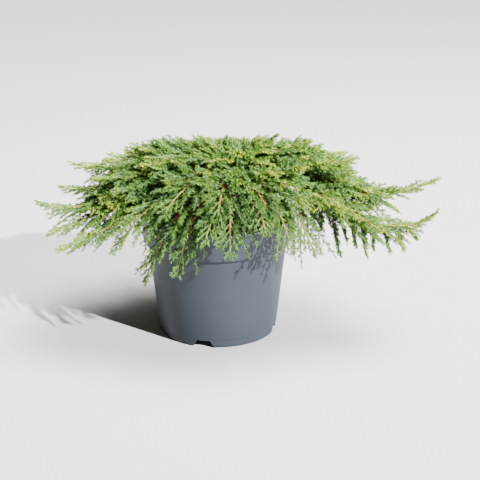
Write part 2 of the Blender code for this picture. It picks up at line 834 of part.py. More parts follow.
def make_mass(plume, sprays, widths, parts, leaf):
    """A plume's solid. If its union isn't sound, one spray is left out, or else the core."""
    trials = [(sprays, widths)]
    trials += [(sprays[:i] + sprays[i + 1 :], widths) for i in range(len(sprays))]
    trials.append((sprays, None))
    for kept, core_widths in trials:
        stem = bmesh.new()
        plume.stem(stem)
        pieces = [stem] + [spray(*shape) for shape in kept]
        if core_widths:
            pieces.append(core(plume, core_widths))
        mass = union_of(plume.name, pieces, parts)
        if made_sound(mass.data, "BEAUTY") or made_sound(mass.data, "EAR_CLIP"):
            break
        bpy.data.objects.remove(mass)
    mass.data.materials.clear()
    mass.data.materials.append(leaf)


def main():
    for obj in list(bpy.data.objects):
        bpy.data.objects.remove(obj)
    parts = collection_named("potted_juniper")
    cutters = collection_named("cutters")
    make_pot(parts, cutters)
    make_medium(parts, cutters)
    make_trunk(parts)
    bark = material("young_bark", (0.30, 0.15, 0.07), 0.8)
    leaf = material("needles", (0.10, 0.22, 0.055), 0.6)
    boughs = [Bough(number) for number in range(BOUGH_COUNT)]
    for bough in boughs:
        bough.make(parts, bark)
    plumes = [plume for bough in boughs for plume in fork(bough)] + top_plumes()
    crown = Crown(plumes, list(parts.objects))
    chance = random.Random(SEED)
    cores = {}
    for plume in plumes:
        work, cores[plume.name] = fitted_core(plume, crown)
        if work:
            crown.take(plume, work)
    tips = {plume.name: fitted_tip(plume, crown) for plume in plumes}
    for plume in plumes:
        sprays = tips[plume.name] + place_sprays(plume, crown, chance)
        make_mass(plume, sprays, cores[plume.name], parts, leaf)


main()
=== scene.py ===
import math

import bmesh
import bpy
import numpy as np
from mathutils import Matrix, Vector


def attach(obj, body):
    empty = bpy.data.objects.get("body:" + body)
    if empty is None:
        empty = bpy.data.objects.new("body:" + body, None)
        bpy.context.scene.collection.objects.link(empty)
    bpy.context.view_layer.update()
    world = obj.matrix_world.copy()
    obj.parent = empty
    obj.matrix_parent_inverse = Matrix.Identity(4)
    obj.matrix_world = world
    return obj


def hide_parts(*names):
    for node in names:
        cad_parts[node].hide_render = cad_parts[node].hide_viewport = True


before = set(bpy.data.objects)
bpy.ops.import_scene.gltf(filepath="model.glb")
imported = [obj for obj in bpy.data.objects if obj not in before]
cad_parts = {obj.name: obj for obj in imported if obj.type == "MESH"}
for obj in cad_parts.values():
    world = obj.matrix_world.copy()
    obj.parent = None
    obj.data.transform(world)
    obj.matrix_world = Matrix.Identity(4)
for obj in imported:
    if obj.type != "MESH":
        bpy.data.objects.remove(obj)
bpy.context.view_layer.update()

# Nursery pot.
# A round injection-moulded container of dark blue-grey polypropylene. It tapers to its foot, with a
# deep collar under the rim and four channels across the base that let water out.
POT_HEIGHT = 0.180
RIM_RADIUS = 0.1125
COLLAR_FOOT_RADIUS = 0.1090
COLLAR_FOOT = 0.1397
WAIST_RADIUS = 0.1026
BASE_RADIUS = 0.0866
FOOT_BAND = 0.0112
POT_WALL = 0.0022
FOOT_ROUND = 0.0022
RIM_BAND = 0.0013
POT_RECESS = 0.150
POT_SIDES = 128
CHANNELS = 4
CHANNEL_TURN = math.radians(-103)
CHANNEL_INNER = 0.030
CHANNEL_OUTER = 0.100
CHANNEL_HEIGHT = 0.0100
CHANNEL_FOOT_WIDTH = 0.0310
CHANNEL_ROOF_WIDTH = 0.0190
DRAIN_RADIUS = 0.0045
DRAIN_PLACE = 0.068
DRAIN_DEPTH = 0.006
NEARLY = 1e-6


def wall_radius(height):
    """Outside of the pot's tapering wall below the collar."""
    return BASE_RADIUS + (WAIST_RADIUS - BASE_RADIUS) * height / COLLAR_FOOT


def collar_radius(height):
    """Outside of the collar up to the rim's band."""
    share = (height - COLLAR_FOOT) / (POT_HEIGHT - COLLAR_FOOT)
    return COLLAR_FOOT_RADIUS + (RIM_RADIUS - RIM_BAND - COLLAR_FOOT_RADIUS) * share


def raise_rings(rings):
    """Draws the selected ring of edges on through rings of (radius, height)."""
    radius, height = rings[0]
    for next_radius, next_height in rings[1:]:
        bpy.ops.mesh.extrude_region_move(
            TRANSFORM_OT_translate={"value": (0, 0, next_height - height)}
        )
        grow = next_radius / radius
        bpy.ops.transform.resize(value=(grow, grow, 1), center_override=(0, 0, next_height))
        radius, height = next_radius, next_height


def select_where(obj, chosen):
    """Selects the vertices of the mesh in edit mode whose place fits."""
    work = bmesh.from_edit_mesh(obj.data)
    work.select_mode = {"VERT"}
    for vert in work.verts:
        vert.select = chosen(vert.co)
    work.select_flush_mode()
    bmesh.update_edit_mesh(obj.data)


def cut_away(obj, cutter):
    """Takes a cutter's shape out of a piece for good."""
    boolean = obj.modifiers.new("cut", "BOOLEAN")
    boolean.operation = "DIFFERENCE"
    boolean.solver = "EXACT"
    boolean.object = cutter
    bpy.ops.object.select_all(action="DESELECT")
    obj.select_set(True)
    bpy.context.view_layer.objects.active = obj
    bpy.ops.object.modifier_apply(modifier=boolean.name)
    bpy.data.objects.remove(cutter)


bpy.ops.object.select_all(action="DESELECT")
bpy.ops.mesh.primitive_circle_add(vertices=POT_SIDES, radius=BASE_RADIUS - FOOT_ROUND)
pot = bpy.context.object
pot.name = "nursery_pot"
bpy.ops.object.mode_set(mode="EDIT")
bpy.ops.mesh.select_mode(type="VERT")
bpy.ops.mesh.select_all(action="SELECT")
# From the foot up the outside, over the rolled rim and down to the level of the mix.
raise_rings([
    (BASE_RADIUS - FOOT_ROUND, 0.0),
    (BASE_RADIUS - 0.0008, 0.0006),
    (BASE_RADIUS, FOOT_ROUND),
    (wall_radius(FOOT_BAND) - 0.0007, FOOT_BAND - 0.0009),
    (wall_radius(FOOT_BAND) - 0.0001, FOOT_BAND - 0.0003),
    (wall_radius(FOOT_BAND), FOOT_BAND),
    (wall_radius(0.050), 0.050),
    (wall_radius(0.095), 0.095),
    (wall_radius(COLLAR_FOOT - 0.0012), COLLAR_FOOT - 0.0012),
    (WAIST_RADIUS + 0.0006, COLLAR_FOOT - 0.0003),
    (WAIST_RADIUS + 0.0014, COLLAR_FOOT),
    (COLLAR_FOOT_RADIUS - 0.0009, COLLAR_FOOT),
    (COLLAR_FOOT_RADIUS - 0.0002, COLLAR_FOOT + 0.0003),
    (COLLAR_FOOT_RADIUS, COLLAR_FOOT + 0.0010),
    (collar_radius(0.158), 0.158),
    (collar_radius(0.1748), 0.1748),
    (collar_radius(0.1754) + 0.0003, 0.1756),
    (RIM_RADIUS - 0.0002, 0.1766),
    (RIM_RADIUS, 0.1772),
    (RIM_RADIUS, 0.1790),
    (RIM_RADIUS - 0.0003, 0.1797),
    (RIM_RADIUS - 0.0009, POT_HEIGHT),
    (RIM_RADIUS - 0.0024, POT_HEIGHT),
    (RIM_RADIUS - 0.0031, 0.1796),
    (RIM_RADIUS - 0.0034, 0.1788),
    (collar_radius(0.170) - POT_WALL, 0.170),
    (collar_radius(POT_RECESS) - POT_WALL, POT_RECESS),
])
bpy.ops.mesh.edge_face_add()
select_where(pot, lambda place: abs(place.z) < NEARLY)
bpy.ops.mesh.edge_face_add()
bpy.ops.mesh.select_all(action="SELECT")
bpy.ops.mesh.normals_make_consistent(inside=False)
bpy.ops.object.mode_set(mode="OBJECT")

for number in range(CHANNELS):
    turn = CHANNEL_TURN + number * math.tau / CHANNELS
    bpy.ops.object.select_all(action="DESELECT")
    bpy.ops.mesh.primitive_cube_add(
        size=1.0, location=((CHANNEL_INNER + CHANNEL_OUTER) / 2, 0, 0)
    )
    channel = bpy.context.object
    channel.scale = (CHANNEL_OUTER - CHANNEL_INNER, CHANNEL_FOOT_WIDTH, 2 * CHANNEL_HEIGHT)
    bpy.ops.object.transform_apply(location=True, rotation=False, scale=True)
    bpy.ops.object.mode_set(mode="EDIT")
    select_where(channel, lambda place: place.z > 0)
    narrow = CHANNEL_ROOF_WIDTH / CHANNEL_FOOT_WIDTH
    bpy.ops.transform.resize(value=(1, narrow, 1))
    select_where(channel, lambda place: place.z < 0)
    bpy.ops.transform.resize(value=(1, 2 - narrow, 1))
    bpy.ops.object.mode_set(mode="OBJECT")
    channel.rotation_euler.z = turn
    cut_away(pot, channel)
    bpy.ops.mesh.primitive_cylinder_add(
        vertices=24,
        radius=DRAIN_RADIUS,
        depth=DRAIN_DEPTH,
        location=(
            DRAIN_PLACE * math.cos(turn),
            DRAIN_PLACE * math.sin(turn),
            CHANNEL_HEIGHT + 0.002,
        ),
    )
    cut_away(pot, bpy.context.object)

bpy.ops.object.select_all(action="DESELECT")
pot.select_set(True)
bpy.context.view_layer.objects.active = pot
bpy.ops.object.shade_smooth_by_angle(angle=math.radians(32))


def new_material(name, colour, roughness):
    """A Principled material; gives its tree, its shader and the Object coordinates."""
    made = bpy.data.materials.new(name)
    made.use_nodes = True
    made.diffuse_color = (*colour, 1.0)
    tree = made.node_tree
    shader = tree.nodes["Principled BSDF"]
    shader.inputs["Base Color"].default_value = (*colour, 1.0)
    shader.inputs["Roughness"].default_value = roughness
    place = tree.nodes.new("ShaderNodeTexCoord").outputs["Object"]
    return made, tree, shader, place


def noise(tree, place, scale, detail=4.0, stretch=(1, 1, 1)):
    """A noise pattern of a size in places per metre, stretched along the axes."""
    mapping = tree.nodes.new("ShaderNodeMapping")
    mapping.inputs["Scale"].default_value = stretch
    tree.links.new(place, mapping.inputs["Vector"])
    pattern = tree.nodes.new("ShaderNodeTexNoise")
    pattern.inputs["Scale"].default_value = scale
    pattern.inputs["Detail"].default_value = detail
    tree.links.new(mapping.outputs["Vector"], pattern.inputs["Vector"])
    return pattern.outputs["Fac"]


def ramp(tree, pattern, stops):
    """Turns a pattern into colours or greys by (position, value) stops."""
    made = tree.nodes.new("ShaderNodeValToRGB")
    while len(made.color_ramp.elements) < len(stops):
        made.color_ramp.elements.new(1.0)
    for element, (position, value) in zip(made.color_ramp.elements, stops):
        element.position = position
        element.color = (*value, 1.0) if isinstance(value, tuple) else (value, value, value, 1.0)
    tree.links.new(pattern, made.inputs["Fac"])
    return made.outputs["Color"]


def bump(tree, shader, pattern, height, strength):
    """Raises the surface by a pattern."""
    made = tree.nodes.new("ShaderNodeBump")
    made.inputs["Strength"].default_value = strength
    made.inputs["Distance"].default_value = height
    tree.links.new(pattern, made.inputs["Height"])
    tree.links.new(made.outputs["Normal"], shader.inputs["Normal"])


pot_plastic, tree, shader, place = new_material("pot_plastic", (0.024, 0.031, 0.039), 0.42)
shade = ramp(tree, noise(tree, place, 9.0, 5.0), [
    (0.30, (0.022, 0.028, 0.035)),
    (0.70, (0.027, 0.034, 0.043)),
])
tree.links.new(shade, shader.inputs["Base Color"])
shader.inputs["Specular IOR Level"].default_value = 0.22
gloss = ramp(tree, noise(tree, place, 26.0, 6.0, (1, 1, 0.25)), [(0.25, 0.42), (0.75, 0.60)])
tree.links.new(gloss, shader.inputs["Roughness"])
bump(tree, shader, noise(tree, place, 900.0, 3.0), 0.00012, 0.35)
pot.data.materials.clear()
pot.data.materials.append(pot_plastic)
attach(pot, "root")
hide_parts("pot")

# Growing medium.
# Moist peat and composted bark, settled a little below the rim. It is loose stuff, so its top is
# lumpy, with crumbs and bark chips lying on it.
MEDIUM_TOP = 0.165
MEDIUM_FOOT = POT_RECESS + 0.0003
MEDIUM_EDGE_DROP = 0.004
MEDIUM_GAP = 0.0006
MEDIUM_RINGS = 38
SLOPE_RINGS = 24
CRUMBS = 2600
CRUMB_SEED = 31
CRUMB_SIZES = (0.0008, 0.0024)
CRUMB_FLATNESS = 0.55
CHIP_CHANCE = 0.12
CHIP_SIZE = 2.1


def displaced(obj, texture_name, size, strength, direction="NORMAL"):
    """Roughens a mesh for good with a cloud pattern."""
    texture = bpy.data.textures.new(texture_name, "CLOUDS")
    texture.noise_scale = size
    texture.noise_depth = 3
    modifier = obj.modifiers.new(texture_name, "DISPLACE")
    modifier.texture = texture
    modifier.strength = strength
    modifier.mid_level = 0.5
    modifier.direction = direction
    bpy.ops.object.select_all(action="DESELECT")
    obj.select_set(True)
    bpy.context.view_layer.objects.active = obj
    bpy.ops.object.modifier_apply(modifier=modifier.name)


def joined_mesh(name, points, faces):
    """One object from arrays of points and triangles."""
    mesh = bpy.data.meshes.new(name)
    mesh.vertices.add(len(points))
    mesh.vertices.foreach_set("co", np.asarray(points, np.float32).ravel())
    mesh.loops.add(3 * len(faces))
    mesh.loops.foreach_set("vertex_index", np.asarray(faces, np.int32).ravel())
    mesh.polygons.add(len(faces))
    mesh.polygons.foreach_set("loop_start", np.arange(0, 3 * len(faces), 3, dtype=np.int32))
    mesh.update(calc_edges=True)
    obj = bpy.data.objects.new(name, mesh)
    bpy.context.scene.collection.objects.link(obj)
    return obj


bpy.ops.object.select_all(action="DESELECT")
medium_radius = collar_radius(MEDIUM_TOP) - POT_WALL - MEDIUM_GAP
bpy.ops.mesh.primitive_cylinder_add(
    vertices=96,
    radius=medium_radius,
    depth=MEDIUM_TOP - MEDIUM_EDGE_DROP - MEDIUM_FOOT,
    location=(0, 0, (MEDIUM_TOP - MEDIUM_EDGE_DROP + MEDIUM_FOOT) / 2),
)
medium = bpy.context.object
medium.name = "potting_mix"
bpy.ops.object.transform_apply(location=True, rotation=False, scale=False)
bpy.ops.object.mode_set(mode="EDIT")
select_where(medium, lambda place: place.z > MEDIUM_TOP - MEDIUM_EDGE_DROP - NEARLY)
for ring in range(MEDIUM_RINGS):
    bpy.ops.mesh.inset(thickness=medium_radius / (MEDIUM_RINGS + 2))
    rise = MEDIUM_EDGE_DROP / SLOPE_RINGS if ring < SLOPE_RINGS else 0.0
    bpy.ops.transform.translate(value=(0, 0, rise))
bpy.ops.mesh.poke()
bpy.ops.object.mode_set(mode="OBJECT")
displaced(medium, "peat_lumps", 0.011, 0.0050, "Z")
displaced(medium, "peat_grain", 0.0030, 0.0022, "Z")
bpy.ops.object.mode_set(mode="EDIT")
select_where(medium, lambda place: place.z < POT_RECESS + 0.002)
bpy.ops.transform.resize(value=(1, 1, 0), center_override=(0, 0, MEDIUM_FOOT))
bpy.ops.object.mode_set(mode="OBJECT")
bpy.ops.object.shade_smooth_by_angle(angle=math.radians(40))

peat, tree, shader, place = new_material("peat", (0.040, 0.026, 0.017), 0.95)
shade = ramp(tree, noise(tree, place, 420.0, 6.0), [
    (0.30, (0.014, 0.010, 0.008)),
    (0.55, (0.050, 0.031, 0.019)),
    (0.78, (0.110, 0.068, 0.038)),
])
tree.links.new(shade, shader.inputs["Base Color"])
bump(tree, shader, noise(tree, place, 700.0, 5.0), 0.0008, 0.9)
medium.data.materials.clear()
medium.data.materials.append(peat)
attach(medium, "root")
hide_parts("growing_medium")

chance = np.random.default_rng(CRUMB_SEED)
spread = medium_radius * 0.97 * np.sqrt(chance.uniform(0.0, 1.0, CRUMBS))
angle = chance.uniform(0.0, math.tau, CRUMBS)
centre = np.stack([
    spread * np.cos(angle),
    spread * np.sin(angle),
    MEDIUM_TOP - MEDIUM_EDGE_DROP * np.clip(spread / medium_radius * 1.4 - 0.4, 0, 1) + 0.0006,
], axis=1)
size = chance.uniform(*CRUMB_SIZES, (CRUMBS, 1)) * np.where(
    chance.uniform(0, 1, (CRUMBS, 1)) < CHIP_CHANCE, CHIP_SIZE, 1.0
)
corners = chance.normal(0.0, 1.0, (CRUMBS, 4, 3))
corners -= corners.mean(axis=1, keepdims=True)
corners /= np.linalg.norm(corners, axis=2, keepdims=True)
corners[:, :, 2] *= CRUMB_FLATNESS
points = centre[:, None, :] + corners * size[:, :, None]
faces = np.array([[0, 1, 2], [0, 3, 1], [0, 2, 3], [1, 3, 2]])
inward = np.einsum(
    "ij,ij->i",
    np.cross(corners[:, 1] - corners[:, 0], corners[:, 2] - corners[:, 0]),
    corners[:, 3] - corners[:, 0],
) > 0
faces = np.where(inward[:, None, None], faces[None, :, ::-1], faces[None])
faces = faces + (4 * np.arange(CRUMBS))[:, None, None]
crumbs = joined_mesh("bark_crumbs", points.reshape(-1, 3), faces.reshape(-1, 3))
crumb_bark, tree, shader, place = new_material("crumb_bark", (0.095, 0.055, 0.030), 0.9)
shade = ramp(tree, noise(tree, place, 160.0, 3.0), [
    (0.35, (0.030, 0.019, 0.012)),
    (0.62, (0.120, 0.070, 0.038)),
])
tree.links.new(shade, shader.inputs["Base Color"])
crumbs.data.materials.append(crumb_bark)
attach(crumbs, "root")

# Trunk.
# The old stem of the shrub, a short thick neck that leans to the right. Its grey-brown bark is
# fibrous and splits in long strips, and five root ridges spread where it meets the mix.
TRUNK_FOOT = Vector((0.006, 0.000, MEDIUM_TOP + 0.0003))
TRUNK_TOP = Vector((0.024, 0.005, 0.2240))
TRUNK_BEND = Vector((0.004, -0.003, 0.0))
TRUNK_RADIUS = 0.0088
TRUNK_TOP_RADIUS = 0.0062
ROOT_FLARE = 0.0052
ROOT_FLARE_HEIGHT = 0.0055
ROOT_LOBES = 5
ROOT_LOBE_DEPTH = 0.16
ROOT_PUSHES = ((0, 0.10, 0.0016), (0.10, 0.24, 0.0009))
BARK_RELIEF = 0.0014
TRUNK_STEPS = 22
TRUNK_SIDES = 60


def trunk_share(height):
    return (height - TRUNK_FOOT.z) / (TRUNK_TOP.z - TRUNK_FOOT.z)


def trunk_centre(share):
    return TRUNK_FOOT.lerp(TRUNK_TOP, share) + TRUNK_BEND * math.sin(math.pi * share)


def trunk_radius(height):
    flare = ROOT_FLARE * math.exp(-(height - TRUNK_FOOT.z) / ROOT_FLARE_HEIGHT)
    return TRUNK_RADIUS + (TRUNK_TOP_RADIUS - TRUNK_RADIUS) * trunk_share(height) + flare


def trunk_lobes(share):
    return ROOT_LOBE_DEPTH * (1.0 - share) ** 3


bpy.ops.object.select_all(action="DESELECT")
centre, radius = trunk_centre(0.0), trunk_radius(TRUNK_FOOT.z)
bpy.ops.mesh.primitive_circle_add(
    vertices=TRUNK_SIDES, radius=radius, location=(centre.x, centre.y, centre.z)
)
trunk = bpy.context.object
trunk.name = "trunk_bark"
bpy.ops.object.transform_apply(location=True, rotation=False, scale=False)
bpy.ops.object.mode_set(mode="EDIT")
bpy.ops.mesh.select_mode(type="VERT")
bpy.ops.mesh.select_all(action="SELECT")
for step in range(1, TRUNK_STEPS + 1):
    share = (step / TRUNK_STEPS) ** 1.3
    next_centre = trunk_centre(share)
    next_radius = trunk_radius(next_centre.z)
    bpy.ops.mesh.extrude_region_move(
        TRANSFORM_OT_translate={"value": next_centre - centre}
    )
    grow = next_radius / radius
    bpy.ops.transform.resize(value=(grow, grow, 1), center_override=next_centre)
    centre, radius = next_centre, next_radius
bpy.ops.mesh.edge_face_add()
select_where(trunk, lambda place: abs(place.z - TRUNK_FOOT.z) < NEARLY)
bpy.ops.mesh.edge_face_add()
for lobe in range(ROOT_LOBES):
    turn = lobe * math.tau / ROOT_LOBES
    out = Vector((math.cos(turn), math.sin(turn), 0.0))
    for low, high, push in ROOT_PUSHES:
        select_where(trunk, lambda place: (
            low <= trunk_share(place.z) + NEARLY < high
            and (place - trunk_centre(trunk_share(place.z))).normalized().dot(out) > 0.86
        ))
        bpy.ops.transform.translate(value=out * push)
bpy.ops.mesh.select_all(action="SELECT")
bpy.ops.mesh.normals_make_consistent(inside=False)
bpy.ops.object.mode_set(mode="OBJECT")
displaced(trunk, "trunk_ridges", 0.0045, BARK_RELIEF)
bpy.ops.object.shade_smooth_by_angle(angle=math.radians(40))

old_bark, tree, shader, place = new_material("old_bark", (0.20, 0.13, 0.085), 0.85)
strips = noise(tree, place, 260.0, 6.0, (1, 1, 0.16))
shade = ramp(tree, strips, [
    (0.30, (0.060, 0.036, 0.022)),
    (0.52, (0.210, 0.125, 0.075)),
    (0.75, (0.330, 0.240, 0.170)),
])
tree.links.new(shade, shader.inputs["Base Color"])
bump(tree, shader, strips, 0.0012, 0.9)
trunk.data.materials.clear()
trunk.data.materials.append(old_bark)
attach(trunk, "root")
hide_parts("trunk")

# Boughs.
# Twelve limbs grow out of the trunk at different heights, all round it. Each is an orange-brown
# tapering branch with flaking bark, and its end forks into three plumes.
BOUGH_COUNT = 12
FIRST_BOUGH = math.radians(-8)
BOUGH_LOWEST = 0.1790
BOUGH_HIGHEST = 0.2160
BOUGH_RADIUS = 0.0040
BOUGH_TIP_RADIUS = 0.0031
BOUGH_SHARE = 0.235
BOUGH_TIP_HEIGHT = 0.2140
BOUGH_TIP_RISE = 0.0140
BOUGH_TIP_PITCH = math.radians(14)
BOUGH_LEAD = 0.40
BOUGH_TRAIL = 0.35
BOUGH_SINK = 0.0016
BOUGH_FOOT_SWELL = 1.12
CROWN_MIDDLE = Vector((0.030, 0.022, 0.0))
CROWN_HALF_WIDTH = 0.293
CROWN_HALF_DEPTH = 0.208
CROWN_AXIS = Vector((0.020, 0.000, 0.0))


def level_direction(azimuth, pitch=0.0):
    flat = math.cos(pitch)
    return Vector((math.cos(azimuth) * flat, math.sin(azimuth) * flat, math.sin(pitch)))


def outline_reach(azimuth):
    """How far the crown's outline lies from its axis along a bearing."""
    along = level_direction(azimuth)
    offset = CROWN_AXIS - CROWN_MIDDLE
    wide, deep = CROWN_HALF_WIDTH**2, CROWN_HALF_DEPTH**2
    a = along.x**2 / wide + along.y**2 / deep
    b = offset.x * along.x / wide + offset.y * along.y / deep
    c = offset.x**2 / wide + offset.y**2 / deep - 1.0
    return (-b + math.sqrt(b * b - a * c)) / a


def bezier(start, lead, trail, end, share):
    rest = 1.0 - share
    return (
        start * rest**3
        + lead * 3 * share * rest**2
        + trail * 3 * share**2 * rest
        + end * share**3
    )


def trunk_side(out, height):
    """How far the trunk reaches in a level direction, over the thickness of a bough."""
    reaches = []
    for part in (-1.0, -0.5, 0.0, 0.5, 1.0):
        level = height + part * BOUGH_RADIUS
        share = trunk_share(level)
        widest = trunk_radius(level) * (1 + trunk_lobes(share))
        reaches.append(trunk_centre(share).dot(out) + widest)
    return max(reaches)


bough_ends = []
bough_pieces = []
for number in range(BOUGH_COUNT):
    wobble = math.sin(2.4 * number)
    azimuth = FIRST_BOUGH - number * math.tau / BOUGH_COUNT + 0.05 * wobble
    level = (number * 5 % BOUGH_COUNT) / (BOUGH_COUNT - 1)
    height = BOUGH_LOWEST + (BOUGH_HIGHEST - BOUGH_LOWEST) * level
    out = level_direction(azimuth)
    middle = trunk_centre(trunk_share(height))
    start = middle + out * (trunk_side(out, height) - middle.dot(out) - BOUGH_SINK)
    end = CROWN_AXIS + out * BOUGH_SHARE * outline_reach(azimuth)
    end.z = BOUGH_TIP_HEIGHT + BOUGH_TIP_RISE * (level + wobble / 2)
    span = (end - start).length
    handles = (
        start,
        start + out * BOUGH_LEAD * span,
        end - level_direction(azimuth, BOUGH_TIP_PITCH) * BOUGH_TRAIL * span,
        end,
    )
    bough_ends.append((azimuth, end, (end - bezier(*handles, 0.8)).normalized()))
    bpy.ops.object.select_all(action="DESELECT")
    bpy.ops.curve.primitive_bezier_curve_add(location=(0, 0, 0))
    bough = bpy.context.object
    bough.data.bevel_depth = 1.0
    bough.data.bevel_resolution = 4
    bough.data.use_fill_caps = True
    bough.data.resolution_u = 20
    first, last = bough.data.splines[0].bezier_points
    for point in (first, last):
        point.handle_left_type = point.handle_right_type = "FREE"
    first.co, first.handle_right = handles[0], handles[1]
    first.handle_left = handles[0] - (handles[1] - handles[0])
    last.handle_left, last.co = handles[2], handles[3]
    last.handle_right = handles[3] + (handles[3] - handles[2])
    first.radius, last.radius = BOUGH_RADIUS * BOUGH_FOOT_SWELL, BOUGH_TIP_RADIUS
    bpy.ops.object.convert(target="MESH")
    bough = bpy.context.object
    displaced(bough, f"bough_flakes_{number}", 0.0030, 0.0008)
    bpy.ops.object.shade_smooth_by_angle(angle=math.radians(50))
    bough_pieces.append(bough)

bpy.ops.object.select_all(action="DESELECT")
for bough in bough_pieces:
    bough.select_set(True)
bpy.context.view_layer.objects.active = bough_pieces[0]
bpy.ops.object.join()
boughs = bpy.context.object
boughs.name = "boughs_bark"

young_bark, tree, shader, place = new_material("young_bark", (0.33, 0.16, 0.07), 0.7)
flakes = noise(tree, place, 330.0, 5.0, (1, 1, 0.6))
shade = ramp(tree, flakes, [
    (0.30, (0.120, 0.055, 0.028)),
    (0.52, (0.330, 0.160, 0.070)),
    (0.76, (0.470, 0.290, 0.160)),
])
tree.links.new(shade, shader.inputs["Base Color"])
bump(tree, shader, flakes, 0.0007, 0.7)
boughs.data.materials.clear()
boughs.data.materials.append(young_bark)
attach(boughs, "root")
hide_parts(*[f"bough_{number + 1:02d}" for number in range(BOUGH_COUNT)])

# Plumes.
# Each bough forks into three long plumes, and eight more rise from the trunk's top. A plume is a
# woody stem that arches over and hangs or reaches out, orange-brown at its foot, green at its tip.
CROWN_TOP = 0.300
CROWN_RIDGE = 0.150
CROWN_FALL_ALONG = 0.45
CROWN_FALL_ACROSS = 0.36
PLUME_STAND = 0.0019
PLUME_LEAD = 0.36
PLUME_TRAIL = 0.38
FOOT_SLANT = math.radians(30)
FORK_SPREAD = 0.4
ARCH_SHORT = math.radians(66)
ARCH_LONG = math.radians(12)
REACH_SHORT = 0.100
REACH_RANGE = 0.210
TOP_PLUMES = 8
TOP_REACH = (0.062, 0.124)
TOP_DEPTH = (0.010, 0.036)
TOP_PITCH = (math.radians(4), math.radians(-42))
TOP_TURN = math.radians(-30)
TOP_STAND = 0.0044
TOP_LEAN = 0.35
FOOT_SINK = 0.001

# The three plumes of a fork: turn from the bough, share of the outline, depth under the mound's
# top and pitch of the last stretch.
TIERS = {
    "high": (math.radians(0), 0.64, 0.012, math.radians(4)),
    "mid": (math.radians(9), 0.92, 0.030, math.radians(-12)),
    "low": (math.radians(-9), 0.98, 0.066, math.radians(-38)),
}

# The plumes that stand out: bearing in degrees, reach, tip height and tip pitch in degrees.
LEADERS = {
    (1, "high"): (-3, 0.178, 0.263, 18),
    (1, "mid"): (4.5, 0.309, 0.223, 25),
    (1, "low"): (-11.5, 0.301, 0.200, 48),
    (2, "high"): (-40, 0.140, 0.214, -48),
    (2, "mid"): (-37, 0.152, 0.146, -50),
    (2, "low"): (-57, 0.158, 0.163, -62),
    (3, "high"): (-66, 0.138, 0.208, -56),
    (3, "mid"): (-72, 0.160, 0.196, -40),
    (3, "low"): (-90, 0.166, 0.168, -58),
    (4, "high"): (-97, 0.138, 0.218, -46),
    (4, "mid"): (-102, 0.166, 0.186, -45),
    (4, "low"): (-116, 0.168, 0.136, -64),
    (5, "high"): (-128, 0.150, 0.210, -50),
    (5, "mid"): (-144, 0.204, 0.157, -48),
    (5, "low"): (-132, 0.178, 0.119, -66),
    (6, "high"): (-172, 0.200, 0.238, -2),
    (6, "mid"): (-168, 0.267, 0.163, -16),
    (6, "low"): (-158, 0.262, 0.154, -12),
    (7, "mid"): (173, 0.254, 0.207, 8),
    (7, "low"): (-178, 0.282, 0.197, 22),
    (7, "high"): (175, 0.180, 0.256, 4),
    (8, "high"): (163, 0.256, 0.235, 17),
    (12, "high"): (25, 0.182, 0.247, 2),
    (12, "mid"): (33, 0.214, 0.205, -6),
    (12, "low"): (14, 0.260, 0.160, -34),
}

# Sprays that hang under the long plume on the right, the low one of the first bough: share of its
# stem, length and slope down in degrees.
HANGING_FROM = 2
HANGING = (
    (0.10, 0.046, 60),
    (0.17, 0.050, 66),
    (0.23, 0.042, 74),
    (0.28, 0.080, 70),
    (0.34, 0.048, 66),
    (0.40, 0.052, 68),
    (0.46, 0.062, 71),
    (0.54, 0.042, 76),
    (0.60, 0.044, 64),
    (0.68, 0.036, 58),
    (0.77, 0.022, 46),
)


def crown_top(x, y):
    """Height of the mound's top: a level ridge along X that falls away all round."""
    past_ridge = np.maximum(0.0, np.abs(x - CROWN_MIDDLE.x) - CROWN_RIDGE)
    return CROWN_TOP - CROWN_FALL_ALONG * past_ridge - CROWN_FALL_ACROSS * np.abs(y)


def plume_curve(foot, lead, azimuth, reach, height, pitch):
    """The four handles of a plume's stem."""
    end = CROWN_AXIS + level_direction(azimuth) * reach
    end.z = height
    span = (end - foot).length
    return (
        foot,
        foot + lead * PLUME_LEAD * span,
        end - level_direction(azimuth, pitch) * PLUME_TRAIL * span,
        end,
    )


plumes = []
for number, (bough_azimuth, end, direction) in enumerate(bough_ends, start=1):
    aims = {}
    for tier, (turn, share, depth, pitch) in TIERS.items():
        if (number, tier) in LEADERS:
            bearing, reach, height, pitch = LEADERS[number, tier]
            aims[tier] = (math.radians(bearing), reach, height, math.radians(pitch))
        else:
            azimuth = bough_azimuth + turn
            reach = share * outline_reach(azimuth)
            over = CROWN_AXIS + level_direction(azimuth) * reach
            aims[tier] = (azimuth, reach, float(crown_top(over.x, over.y)) - depth, pitch)
    right = direction.cross(Vector((0, 0, 1))).normalized()
    top = right.cross(direction).normalized()
    mid_side = math.copysign(1.0, math.sin(aims["mid"][0] - aims["low"][0]))
    slants = {
        "high": top,
        "mid": right * -mid_side * math.cos(FOOT_SLANT) - top * math.sin(FOOT_SLANT),
        "low": right * mid_side * math.cos(FOOT_SLANT) - top * math.sin(FOOT_SLANT),
    }
    for tier, stand in slants.items():
        azimuth, reach, height, pitch = aims[tier]
        arch = ARCH_SHORT + (ARCH_LONG - ARCH_SHORT) * (reach - REACH_SHORT) / REACH_RANGE
        lead = (level_direction(azimuth, arch) + stand * FORK_SPREAD).normalized()
        foot = end + stand * PLUME_STAND - direction * FOOT_SINK
        plumes.append(plume_curve(foot, lead, azimuth, reach, height, pitch))
